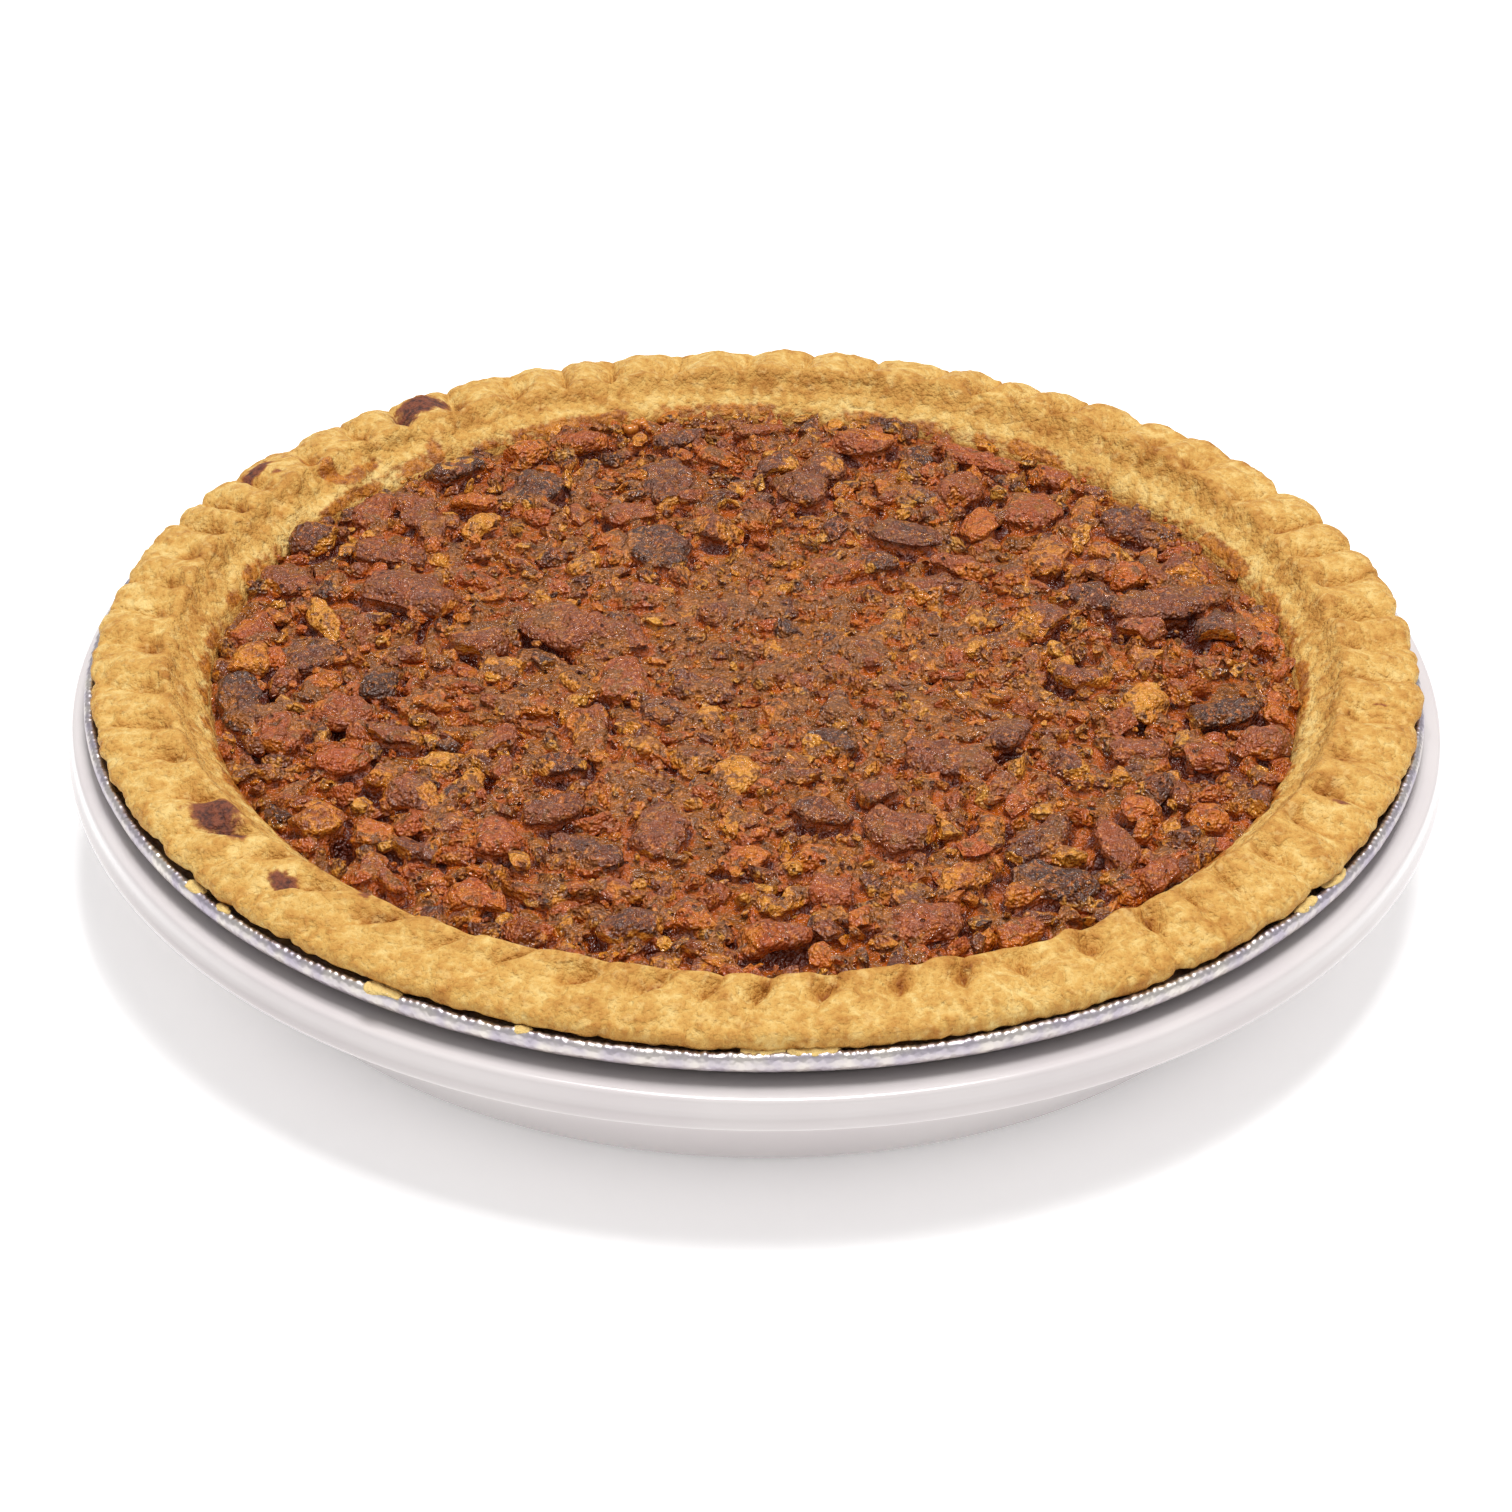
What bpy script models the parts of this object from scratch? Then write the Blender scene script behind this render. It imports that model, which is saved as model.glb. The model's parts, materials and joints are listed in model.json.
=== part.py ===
"""A ten-inch pecan pie baked in a foil tin, standing in the white ceramic dish it is served from.

Metres, +Z up. The origin is the middle of the dish's foot, on the table. +X is right, -Y is the front.
The dish stands level. The tin, the crust, the filling and the pecans lean together by PIE_LEAN,
because the tin's rolled rim touches the dish's lip at the back only.
"""

import random
from math import cos, exp, pi, radians, sin, tau

import bmesh
import bpy
from mathutils import Matrix

MM = 0.001

# Driving sizes
DISH_RADIUS = 129.0 * MM
DISH_HEIGHT = 31.0 * MM
DISH_LIP_DROP = 5.5 * MM
FOOT_RADIUS = 105.0 * MM
DISH_WALL = 5.0 * MM
TIN_RADIUS = 125.2 * MM
TIN_RIM_Z = 33.6 * MM
TIN_FLOOR_Z = 6.8 * MM
FOIL = 0.45 * MM
CRUST_RADIUS = 124.0 * MM
CREST_RADIUS = 109.6 * MM
CREST_Z = 41.6 * MM
FILLING_RADIUS = 102.5 * MM
FILLING_EDGE_Z = 33.2 * MM
CRUST_FLOOR = 3.4 * MM
GAP = 0.35 * MM
PIE_LEAN = radians(-0.8)
PIE_SHIFT = -0.5 * MM

# How finely the round pieces are cut
CRIMPS = 59
STEPS_PER_CRIMP = 3
DISH_SEGMENTS = 48
TIN_SEGMENTS = 48
FILLING_SEGMENTS = 48

# The largest pecan pieces: where the middle lies, its length and width, the heading of its long
# side in degrees from +X, and how many of its ends are broken off. The lengths are in millimetres.
PECANS = [
    (80.5, 24.5, 24, 9.5, 20, 0),
    (94.5, 13.0, 18, 6.5, -78, 1),
    (55.5, 62.0, 16, 11, 80, 1),
    (57.5, 42.0, 17, 8, 62, 1),
    (41.0, 68.0, 17, 9, 70, 2),
    (31.0, 48.0, 17, 11, -30, 1),
    (45.5, 82.5, 19, 8, -25, 0),
    (9.0, 65.0, 18, 9, -80, 1),
    (77.0, 53.0, 16, 8, -25, 0),
    (-18.5, 70.0, 20, 9.5, -82, 0),
    (-45.5, 66.5, 18, 10.5, 80, 1),
    (-33.0, 12.0, 28, 12, -25, 0),
    (-65.0, 21.0, 24, 15, -30, 1),
    (-71.0, 37.0, 18, 8, -20, 1),
    (-67.5, 54.0, 20, 7, -65, 0),
    (-19.0, 41.0, 18, 11, -60, 1),
    (-91.0, 29.0, 15, 10, 35, 2),
    (-84.0, 0.0, 19, 10, 80, 2),
    (-94.5, -18.5, 18, 7.5, -75, 0),
    (-86.0, -27.0, 16, 7.5, 90, 1),
    (-16.0, -57.0, 18, 9, 85, 1),
    (-28.5, -66.5, 15, 8, -35, 0),
    (50.5, -59.0, 17, 6.5, 50, 0),
    (27.0, -58.0, 15, 9.5, -10, 1),
    (36.0, -34.0, 18, 9, -15, 0),
    (88.0, -15.5, 17, 9, 30, 1),
    (54.0, -72.0, 18, 8, -15, 1),
    (30.0, -85.0, 17, 9, 0, 1),
]
PECAN_HEIGHT_SHARE = 0.52
PECAN_LIFT = 0.6 * MM


def clear_scene():
    """Starts from an empty file."""
    for old in list(bpy.data.objects):
        bpy.data.objects.remove(old)


def finish(name, colour, roughness, metallic=0.0):
    """One Principled material in plain colour."""
    material = bpy.data.materials.new(name)
    material.use_nodes = True
    shader = material.node_tree.nodes["Principled BSDF"]
    shader.inputs["Base Color"].default_value = (*colour, 1.0)
    shader.inputs["Roughness"].default_value = roughness
    shader.inputs["Metallic"].default_value = metallic
    return material


# Mesh helpers


def ring(bm, points):
    """New vertices at the given points, in order round the axis."""
    return [bm.verts.new(point) for point in points]


def circle(radius, height, count):
    """Points of a level circle, counted anticlockwise from +X."""
    return [(radius * cos(tau * i / count), radius * sin(tau * i / count), height) for i in range(count)]


def skin(bm, first, second):
    """Faces between two rings. One may have a whole number of times as many vertices as the other."""
    if len(first) < len(second):
        first, second = second, first
    share = len(first) // len(second)
    for i, corner in enumerate(second):
        after = second[(i + 1) % len(second)]
        fine = [first[(i * share + k) % len(first)] for k in range(share + 1)]
        if share == 1:
            bm.faces.new((corner, after, fine[1], fine[0]))
            continue
        middle = (share + 1) // 2
        for k in range(share):
            bm.faces.new((corner if k < middle else after, fine[k + 1], fine[k]))
        bm.faces.new((corner, after, fine[middle]))


def fan(bm, edge, height):
    """Closes a ring with a point on the axis."""
    pole = bm.verts.new((0.0, 0.0, height))
    for i, corner in enumerate(edge):
        bm.faces.new((corner, edge[(i + 1) % len(edge)], pole))


def as_object(bm, name, material, smooth_angle=35.0):
    """Turns a finished bmesh into a named object with its faces pointing out."""
    bmesh.ops.recalc_face_normals(bm, faces=bm.faces)
    mesh = bpy.data.meshes.new(name)
    bm.to_mesh(mesh)
    bm.free()
    mesh.shade_smooth()
    mesh.set_sharp_from_angle(angle=radians(smooth_angle))
    mesh.materials.append(material)
    part = bpy.data.objects.new(name, mesh)
    bpy.context.collection.objects.link(part)
    return part


def turned(name, profile, segments, material):
    """A body of revolution. The profile runs from the axis under the floor, outward, and back to the axis."""
    bm = bmesh.new()
    rings = [ring(bm, circle(radius, height, segments)) for radius, height in profile[1:-1]]
    for lower, upper in zip(rings, rings[1:]):
        skin(bm, lower, upper)
    fan(bm, rings[0], profile[0][1])
    fan(bm, rings[-1], profile[-1][1])
    return as_object(bm, name, material)


# The dish and the tin


def make_dish(material):
    """The glazed dish: a foot ring, a sloping wall, and a thick flat lip with a flared lower edge."""
    lip_foot = DISH_HEIGHT - DISH_LIP_DROP
    recess = 1.0 * MM
    profile = [
        (0.0, recess),
        (FOOT_RADIUS - 8.0 * MM, recess),
        (FOOT_RADIUS - 6.5 * MM, 0.0),
        (FOOT_RADIUS, 0.0),
        (FOOT_RADIUS + 2.0 * MM, 1.4 * MM),
        (FOOT_RADIUS + 15.5 * MM, lip_foot - 1.6 * MM),
        (DISH_RADIUS - 1.0 * MM, lip_foot - 0.5 * MM),
        (DISH_RADIUS, lip_foot + 0.2 * MM),
        (DISH_RADIUS - 1.9 * MM, DISH_HEIGHT - 1.2 * MM),
        (DISH_RADIUS - 3.4 * MM, DISH_HEIGHT),
        (DISH_RADIUS - 9.0 * MM, DISH_HEIGHT - 0.1 * MM),
        (DISH_RADIUS - 10.6 * MM, DISH_HEIGHT - 1.4 * MM),
        (FOOT_RADIUS - 2.0 * MM, DISH_WALL + 3.0 * MM),
        (FOOT_RADIUS - 6.0 * MM, DISH_WALL),
        (0.0, DISH_WALL),
    ]
    return turned("dish", profile, DISH_SEGMENTS, material)


def tin_wall(height):
    """Radius of the tin's inner face at a height between its floor and its rim."""
    share = (height - TIN_FLOOR_Z) / (TIN_RIM_Z - TIN_FLOOR_Z)
    return (96.6 + 19.6 * share) * MM


def make_tin(material):
    """The foil tin: floor, sloping wall, flat rim and the rolled bead round its edge."""
    floor_top = TIN_FLOOR_Z + FOIL
    rim_under = TIN_RIM_Z - FOIL
    bead_radius = 1.1 * MM
    bead_middle = (TIN_RADIUS - bead_radius, TIN_RIM_Z + 0.5 * MM)
    bead = []
    for step in range(5):
        turn = radians(-115.0 + 66.0 * step)
        bead.append((bead_middle[0] + bead_radius * cos(turn), bead_middle[1] + bead_radius * sin(turn)))
    bend = 1.2 * MM
    profile = [
        (0.0, TIN_FLOOR_Z),
        (tin_wall(TIN_FLOOR_Z) - 2.0 * MM, TIN_FLOOR_Z),
        (tin_wall(floor_top) + FOIL, TIN_FLOOR_Z + bend),
        (tin_wall(rim_under) + 0.5 * FOIL, rim_under - bend),
        (tin_wall(rim_under) + bend, rim_under),
        (bead[0][0] - 1.0 * MM, rim_under),
        *bead,
        (bead[4][0] - 0.3 * MM, TIN_RIM_Z),
        (tin_wall(TIN_RIM_Z) + bend, TIN_RIM_Z),
        (tin_wall(rim_under) - 0.5 * FOIL, rim_under - bend),
        (tin_wall(floor_top), TIN_FLOOR_Z + bend + FOIL),
        (tin_wall(TIN_FLOOR_Z) - 2.2 * MM, floor_top),
        (0.0, floor_top),
    ]
    return turned("tin", profile, TIN_SEGMENTS, material)


# The crust


def hump(bearing, middle, width):
    """1 at the bearing called middle, falling to 0 on both sides over about twice the width. Degrees."""
    away = (bearing - middle + 180.0) % 360.0 - 180.0
    return exp(-((away / width) ** 2))


def crimp_bearing(crimp):
    """Bearing, in radians, of a place counted in crimps round the rim. Hand-made crimps wander a little."""
    turn = tau * crimp / CRIMPS
    wander = 0.24 * sin(3 * turn + 0.7) + 0.14 * sin(7 * turn + 2.1) + 0.10 * sin(16 * turn + 4.0)
    return turn + tau * wander / CRIMPS


def crimp_twist(crimp):
    """How far the inner end of a crease runs ahead of its outer end, in crimps."""
    bearing = 360.0 * crimp / CRIMPS
    return 0.35 + 0.85 * hump(bearing, 228.0, 42.0) - 0.7 * hump(bearing, 2.0, 38.0)


def crimp_lobe(crimp):
    """0 in the crease between two crimps and about 1 on the lobe between."""
    return abs(sin(pi * crimp)) ** 0.7


def crust_lump(crimp, seed):
    """A slow unevenness of the pastry, between about -1 and 1."""
    turn = tau * crimp / CRIMPS
    return 0.5 * sin(4 * turn + 1.3 * seed) + 0.3 * sin(9 * turn + 2.9 * seed) + 0.2 * sin(23 * turn + seed)


# One row for each ring of the fluted rim, from under its outer edge, over the crest, down to the
# filling: radius, height, how far a crease cuts in, how far it cuts down, and the share of the twist.
RIM_ROWS = [
    (CRUST_RADIUS - 1.7 * MM, 35.9 * MM, 0.3 * MM, -0.2 * MM, 0.0),
    (CRUST_RADIUS, 37.3 * MM, 0.9 * MM, 0.0, 0.0),
    (CRUST_RADIUS - 3.6 * MM, 39.3 * MM, 0.5 * MM, 1.1 * MM, 0.15),
    (CRUST_RADIUS - 8.9 * MM, 40.7 * MM, 0.0, 1.3 * MM, 0.5),
    (CREST_RADIUS, CREST_Z, 0.0, 0.8 * MM, 0.85),
    (CREST_RADIUS - 1.9 * MM, 39.9 * MM, 0.0, 0.5 * MM, 1.0),
    (CREST_RADIUS - 3.2 * MM, 36.7 * MM, 0.0, 0.2 * MM, 1.0),
    (FILLING_RADIUS, FILLING_EDGE_Z, 0.0, 0.0, 1.0),
]


def rim_points(row, number):
    """The points of one ring of the rim, with its crimps and its unevenness."""
    radius, height, cut_in, cut_down, twist_share = row
    uneven = 0.0 if number in (0, len(RIM_ROWS) - 1) else 0.5 * MM
    points = []
    for step in range(CRIMPS * STEPS_PER_CRIMP):
        crimp = step / STEPS_PER_CRIMP
        bearing = crimp_bearing(crimp + twist_share * crimp_twist(crimp))
        hollow = 1.0 - crimp_lobe(crimp)
        reach = radius - cut_in * hollow
        level = height - cut_down * hollow + uneven * crust_lump(crimp, 1.0 + 0.3 * number)
        points.append((reach * cos(bearing), reach * sin(bearing), level))
    return points


def plain_points(radius, height, twist_share):
    """One point for each crimp, for the rings that nobody sees."""
    places = [crimp + twist_share * crimp_twist(crimp) for crimp in range(CRIMPS)]
    return [(radius * cos(crimp_bearing(p)), radius * sin(crimp_bearing(p)), height) for p in places]


def make_crust(material):
    """The pastry shell: floor, wall, and the crimped rim that lies out over the tin's rim."""
    under = TIN_FLOOR_Z + FOIL + GAP
    wall_gap = GAP + 0.3 * MM
    corner = 2.4 * MM
    outside = [
        (tin_wall(under) - corner - wall_gap, under),
        (tin_wall(under + corner) - wall_gap - 0.6 * MM, under + corner),
        (tin_wall(TIN_RIM_Z) - wall_gap - 1.2 * MM, TIN_RIM_Z - 1.6 * MM),
        (tin_wall(TIN_RIM_Z) + 1.2 * MM, TIN_RIM_Z + GAP),
    ]
    inside = [
        (FILLING_RADIUS - 0.8 * MM, FILLING_EDGE_Z - 1.7 * MM),
        (FILLING_RADIUS - 9.4 * MM, under + CRUST_FLOOR + 1.0 * MM),
        (FILLING_RADIUS - 11.2 * MM, under + CRUST_FLOOR),
    ]
    bm = bmesh.new()
    rings = [ring(bm, plain_points(radius, height, 0.0)) for radius, height in outside]
    rings += [ring(bm, rim_points(row, number)) for number, row in enumerate(RIM_ROWS)]
    rings += [ring(bm, plain_points(radius, height, 1.0)) for radius, height in inside]
    for lower, upper in zip(rings, rings[1:]):
        skin(bm, lower, upper)
    fan(bm, rings[0], under)
    fan(bm, rings[-1], under + CRUST_FLOOR)
    return as_object(bm, "crust", material, smooth_angle=60.0)


# The filling and the pecans


def filling_height(x, y):
    """Height of the baked surface: a low swell round the edge, a sunken middle, and small lumps."""
    share = min((x * x + y * y) ** 0.5 / FILLING_RADIUS, 1.0)
    swell = 1.3 * sin(pi * min(1.0, 2.6 * (1.0 - share)) / 2.0) - 1.5 * exp(-((share / 0.55) ** 2))
    lumps = 0.45 * sin(x / (6.1 * MM) + 0.8) * sin(y / (5.3 * MM) + 2.0) + 0.3 * sin((x + y) / (9.0 * MM))
    return FILLING_EDGE_Z + (swell + lumps * (1.0 - share ** 8)) * MM


def make_filling(material):
    """The filling: solid custard and chopped nuts, from the pastry floor up to its uneven top."""
    floor = TIN_FLOOR_Z + FOIL + GAP + CRUST_FLOOR + GAP
    edge = FILLING_RADIUS - 0.5 * MM
    bm = bmesh.new()
    rings = [
        ring(bm, circle(FILLING_RADIUS - 11.8 * MM, floor, FILLING_SEGMENTS)),
        ring(bm, circle(FILLING_RADIUS - 10.0 * MM, floor + 1.0 * MM, FILLING_SEGMENTS)),
    ]
    for share, count in ((1.0, 1), (0.93, 1), (0.84, 1), (0.72, 1), (0.58, 2), (0.42, 2), (0.22, 4)):
        level = circle(edge * share, 0.0, FILLING_SEGMENTS // count)
        rings.append(ring(bm, [(x, y, filling_height(x, y)) for x, y, _ in level]))
    for lower, upper in zip(rings, rings[1:]):
        skin(bm, lower, upper)
    fan(bm, rings[0], floor)
    fan(bm, rings[-1], filling_height(0.0, 0.0))
    return as_object(bm, "filling", material, smooth_angle=50.0)


# Half a pecan seen end on: across and up, as shares of its half width and height. Two lobes and a groove.
PECAN_SECTION = [(1.0, 0.05), (0.6, 0.85), (0.0, 0.5), (-0.6, 0.85), (-1.0, 0.05), (-0.55, -0.8), (0.55, -0.8)]


def pecan_mesh(bm, length, width, broken, grow, place):
    """Adds one piece of pecan, fatter by grow all round, moved by the matrix called place."""
    height = PECAN_HEIGHT_SHARE * width * (1.0 - 0.25 * (width > 9.9 * MM))
    ends = [-0.97 if broken < 2 else -0.66, 0.97 if broken < 1 else 0.7]
    stations = [ends[0], -0.4, 0.35, ends[1]]
    rings = []
    for along in stations:
        fullness = (1.0 - abs(along) ** 2.6) ** 0.55
        points = []
        for across, up in PECAN_SECTION:
            reach = along * (0.5 * length + grow) / 0.97
            side = across * (0.5 * width * fullness + grow)
            rise = up * (0.5 * height * (0.35 + 0.65 * fullness) + grow)
            points.append(place @ Matrix.Translation((reach, side, rise)).translation)
        rings.append(ring(bm, points))
    for lower, upper in zip(rings, rings[1:]):
        skin(bm, lower, upper)
    bm.faces.new(rings[0])
    bm.faces.new(rings[-1])


def pecan_places():
    """For each pecan its length, width, broken ends and placing matrix, leaning a little at random."""
    dice = random.Random(11)
    places = []
    for x, y, length, width, heading, broken in PECANS:
        roll = radians(dice.uniform(-12.0, 12.0))
        pitch = radians(dice.uniform(-5.0, 5.0))
        level = filling_height(x * MM, y * MM) + PECAN_LIFT
        place = Matrix.Translation((x * MM, y * MM, level))
        place = place @ Matrix.Rotation(radians(heading), 4, "Z")
        place = place @ Matrix.Rotation(pitch, 4, "Y") @ Matrix.Rotation(roll, 4, "X")
        places.append((length * MM, width * MM, broken, place))
    return places


def make_pecans(material):
    """The largest pieces, each its own object, half sunk in the filling."""
    parts = []
    for number, (length, width, broken, place) in enumerate(pecan_places(), start=1):
        bm = bmesh.new()
        pecan_mesh(bm, length, width, broken, 0.0, place)
        parts.append(as_object(bm, f"pecan_{number:02d}", material, smooth_angle=50.0))
    return parts


def cut_pockets(filling):
    """Sinks a pocket for each pecan into the filling, a gap wider than the nut."""
    bm = bmesh.new()
    for length, width, broken, place in pecan_places():
        pecan_mesh(bm, length, width, broken, GAP, place)
    cutter = as_object(bm, "pocket_cutter", filling.data.materials[0])
    cutter.hide_render = True
    cutter.display_type = "WIRE"
    cut = filling.modifiers.new("pockets", "BOOLEAN")
    cut.operation = "DIFFERENCE"
    cut.solver = "EXACT"
    cut.object = cutter
    return cutter


def main():
    """Builds the dish and, leaning in it, the pie in its tin."""
    clear_scene()
    pastry = finish("pastry", (0.58, 0.31, 0.09), 0.75)
    nut = finish("pecan", (0.25, 0.08, 0.035), 0.5)
    custard = finish("custard", (0.22, 0.08, 0.03), 0.45)
    make_dish(finish("glaze", (0.74, 0.70, 0.67), 0.15))
    filling = make_filling(custard)
    pie = [make_tin(finish("foil", (0.75, 0.73, 0.72), 0.3, 1.0)), make_crust(pastry), filling]
    pie += make_pecans(nut)
    pie.append(cut_pockets(filling))
    lean = bpy.data.objects.new("pie_lean", None)
    lean.location = (PIE_SHIFT, 0.0, 0.0)
    lean.rotation_euler = (PIE_LEAN, 0.0, 0.0)
    bpy.context.collection.objects.link(lean)
    for part in pie:
        part.parent = lean


main()
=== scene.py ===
# %% [markdown]
# # A pecan pie in its foil tin and its dish
#
# This lesson dresses a finished construction model of a ten-inch pecan pie. The model already says
# where everything is: a white dish, a foil tin that leans in it a little, a pastry crust with a
# hand-crimped rim, a filling, and the largest pieces of nut. Here each plain solid is replaced by a
# fine surface of the same size, and the pie gets what makes it look baked: flaky browned pastry,
# glossy caramel custard, hundreds of chopped nuts, pleated foil and a white gloss glaze on the dish.
#
# Everything is in metres, +Z is up, and the front of the pie is towards -Y.

# %% Load the fixed frame
import json
import random
from math import cos, pi, radians, sin, tau

import bpy
import numpy as np
from mathutils import Matrix, Vector

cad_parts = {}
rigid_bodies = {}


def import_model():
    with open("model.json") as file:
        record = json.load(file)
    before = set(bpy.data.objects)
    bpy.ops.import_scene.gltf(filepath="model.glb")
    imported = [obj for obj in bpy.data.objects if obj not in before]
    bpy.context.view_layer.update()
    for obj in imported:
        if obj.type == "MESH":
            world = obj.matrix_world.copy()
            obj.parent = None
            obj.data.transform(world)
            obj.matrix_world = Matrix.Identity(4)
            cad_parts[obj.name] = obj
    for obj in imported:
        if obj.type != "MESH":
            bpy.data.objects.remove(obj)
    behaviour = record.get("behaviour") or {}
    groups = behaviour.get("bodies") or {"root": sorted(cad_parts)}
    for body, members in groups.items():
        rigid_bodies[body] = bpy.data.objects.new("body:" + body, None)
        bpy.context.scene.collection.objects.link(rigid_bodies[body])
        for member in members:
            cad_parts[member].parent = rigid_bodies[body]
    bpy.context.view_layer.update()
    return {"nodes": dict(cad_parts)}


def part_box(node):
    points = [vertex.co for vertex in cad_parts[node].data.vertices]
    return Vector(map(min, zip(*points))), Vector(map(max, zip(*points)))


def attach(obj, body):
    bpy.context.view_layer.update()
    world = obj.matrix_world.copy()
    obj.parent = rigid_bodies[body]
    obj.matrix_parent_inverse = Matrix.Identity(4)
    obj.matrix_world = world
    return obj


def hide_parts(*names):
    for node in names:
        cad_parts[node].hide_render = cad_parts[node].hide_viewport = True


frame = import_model()
MM = 0.001

# %% [markdown]
# ## Sizes
#
# The driving sizes are read from the construction model, so that every new surface fits it. The pie
# leans: its tin touches the dish at the back only. So the pie's pieces are made level, as a baker
# would think of them, and one function lays them down into the lean at the end.

# %% Sizes read from the frame
dish_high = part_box("dish")[1]
tin_low, tin_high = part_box("tin")
filling_low, filling_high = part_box("filling")

DISH_RADIUS = dish_high.x
DISH_HEIGHT = dish_high.z
PIE_LEAN = radians(-0.8)
PIE_SHIFT = 0.5 * (tin_low.x + tin_high.x)
TIN_RADIUS = 0.5 * (tin_high.x - tin_low.x)
FILLING_RADIUS = 0.5 * (filling_high.x - filling_low.x) + 0.5 * MM
FILLING_EDGE_Z = 33.2 * MM
CRIMPS = 59
print(f"dish {DISH_RADIUS:.4f}, tin {TIN_RADIUS:.4f}, filling {FILLING_RADIUS:.4f}, shift {PIE_SHIFT:.4f}")


# %% Helpers for points and meshes
def laid_in_dish(points):
    """Turns points of the level pie into the lean, and moves them to where the tin lies in the dish."""
    x, y, z = np.asarray(points, float).T
    lean_cos, lean_sin = cos(PIE_LEAN), sin(PIE_LEAN)
    return np.column_stack([x + PIE_SHIFT, y * lean_cos - z * lean_sin, y * lean_sin + z * lean_cos])


def piece_from(name, points, faces, material):
    """A smooth-shaded mesh object at the origin, with its place in its points."""
    mesh = bpy.data.meshes.new(name)
    mesh.from_pydata(np.asarray(points).tolist(), [], [tuple(face) for face in faces])
    mesh.update()
    mesh.shade_smooth()
    mesh.materials.append(material)
    piece = bpy.data.objects.new(name, mesh)
    bpy.context.scene.collection.objects.link(piece)
    return piece


def triangles(piece):
    """How many triangles a piece comes to."""
    return sum(len(face.vertices) - 2 for face in piece.data.polygons)


def paint(piece, name, values):
    """Stores one number for each point of a piece, for its material to read."""
    painted = piece.data.attributes.new(name, "FLOAT", "POINT")
    painted.data.foreach_set("value", np.asarray(values, np.float32))


def closed_rings(rows, columns):
    """Faces of a closed skin. Its points are one pole, then the rings in order, then the other pole."""
    row = 1 + np.arange(rows)[:, None] * columns
    here, after = np.arange(columns), np.roll(np.arange(columns), -1)
    lower, upper = row[:-1], row[1:]
    quads = np.stack([lower + here, lower + after, upper + after, upper + here], axis=-1).reshape(-1, 4)
    first_fan = np.stack([row[0] + after, row[0] + here, 0 * here], axis=-1)
    last_fan = np.stack([row[-1] + here, row[-1] + after, 0 * here + 1 + rows * columns], axis=-1)
    return first_fan.tolist() + quads.tolist() + last_fan.tolist()


# %% [markdown]
# ## Writing materials as sums
#
# A procedural material is a small program made of nodes. Drawn by hand it soon becomes a web, so
# here a little class wraps a socket and lets it be used like a number: `1 - mask`, `a * b + c`.
# Each sign adds the Math node it stands for. Every other node comes from one method, `make`.


# %% A socket that can be written into sums
class Wire:
    """An output socket of a node tree, which may be added, multiplied and compared."""

    def __init__(self, socket):
        self.socket = socket
        self.tree = socket.id_data

    def make(self, kind, settings=None, values=None, out=0):
        """Adds a node to the same tree: its settings first, then its sockets' values or links."""
        node = self.tree.nodes.new(kind)
        for name, setting in (settings or {}).items():
            if name == "stops":
                fill_ramp(node.color_ramp, setting)
            else:
                setattr(node, name, setting)
        for name, value in (values or {}).items():
            if isinstance(value, Wire):
                self.tree.links.new(value.socket, node.inputs[name])
            else:
                node.inputs[name].default_value = value
        return Wire(node.outputs[out])

    def math(self, operation, *others):
        """One Math node with this socket first."""
        return self.make("ShaderNodeMath", {"operation": operation}, dict(enumerate((self, *others))))

    def __add__(self, other):
        return self.math("ADD", other)

    __radd__ = __add__

    def __mul__(self, other):
        return self.math("MULTIPLY", other)

    __rmul__ = __mul__

    def __sub__(self, other):
        return self.math("SUBTRACT", other)

    def __rsub__(self, other):
        return self.math("MULTIPLY_ADD", -1.0, other)

    def clamped(self):
        """Kept between 0 and 1."""
        return self.make("ShaderNodeClamp", {}, {"Value": self})

    def between(self, low, high):
        """0 below low, 1 above high, smooth between them."""
        spread = {"Value": self, "From Min": low, "From Max": high}
        return self.make("ShaderNodeMapRange", {"interpolation_type": "SMOOTHSTEP"}, spread)

    def mixed(self, first, second, how="MIX"):
        """A colour from first, where this socket is 0, to second, where it is 1."""
        settings = {"data_type": "RGBA", "blend_type": how}
        return self.make("ShaderNodeMix", settings, {0: self, 6: first, 7: second}, out=2)

    def ramp(self, stops):
        """A colour read at this socket from stops, which are (place, colour)."""
        return self.make("ShaderNodeValToRGB", {"stops": stops}, {"Fac": self})


# %% Colours, materials and patterns
def fill_ramp(ramp, stops):
    """Sets a colour ramp's stops: (place, colour)."""
    while len(ramp.elements) < len(stops):
        ramp.elements.new(1.0)
    for element, (place, colour) in zip(ramp.elements, stops):
        element.position = place
        element.color = colour


def paint_of(red, green, blue):
    """A colour as painters' charts give it, 0 to 255, turned into the renderer's linear values."""
    linear = []
    for part in (red, green, blue):
        share = part / 255.0
        linear.append(share / 12.92 if share < 0.04045 else ((share + 0.055) / 1.055) ** 2.4)
    return (*linear, 1.0)


def begin_material(name, **constants):
    """A new material. Returns it, its shader, and the place of each surface point as a Wire."""
    material = bpy.data.materials.new(name)
    material.use_nodes = True
    shader = material.node_tree.nodes["Principled BSDF"]
    for socket, value in constants.items():
        shader.inputs[socket.replace("_", " ").title().replace("Ior", "IOR")].default_value = value
    place = Wire(material.node_tree.nodes.new("ShaderNodeTexCoord").outputs["Object"])
    return material, shader, place


def plug(shader, **wires):
    """Links Wires to the shader's sockets, which are named in lower case with _ for a space."""
    for socket, wire in wires.items():
        shader.id_data.links.new(wire.socket, shader.inputs[socket.replace("_", " ").title()])


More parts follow.
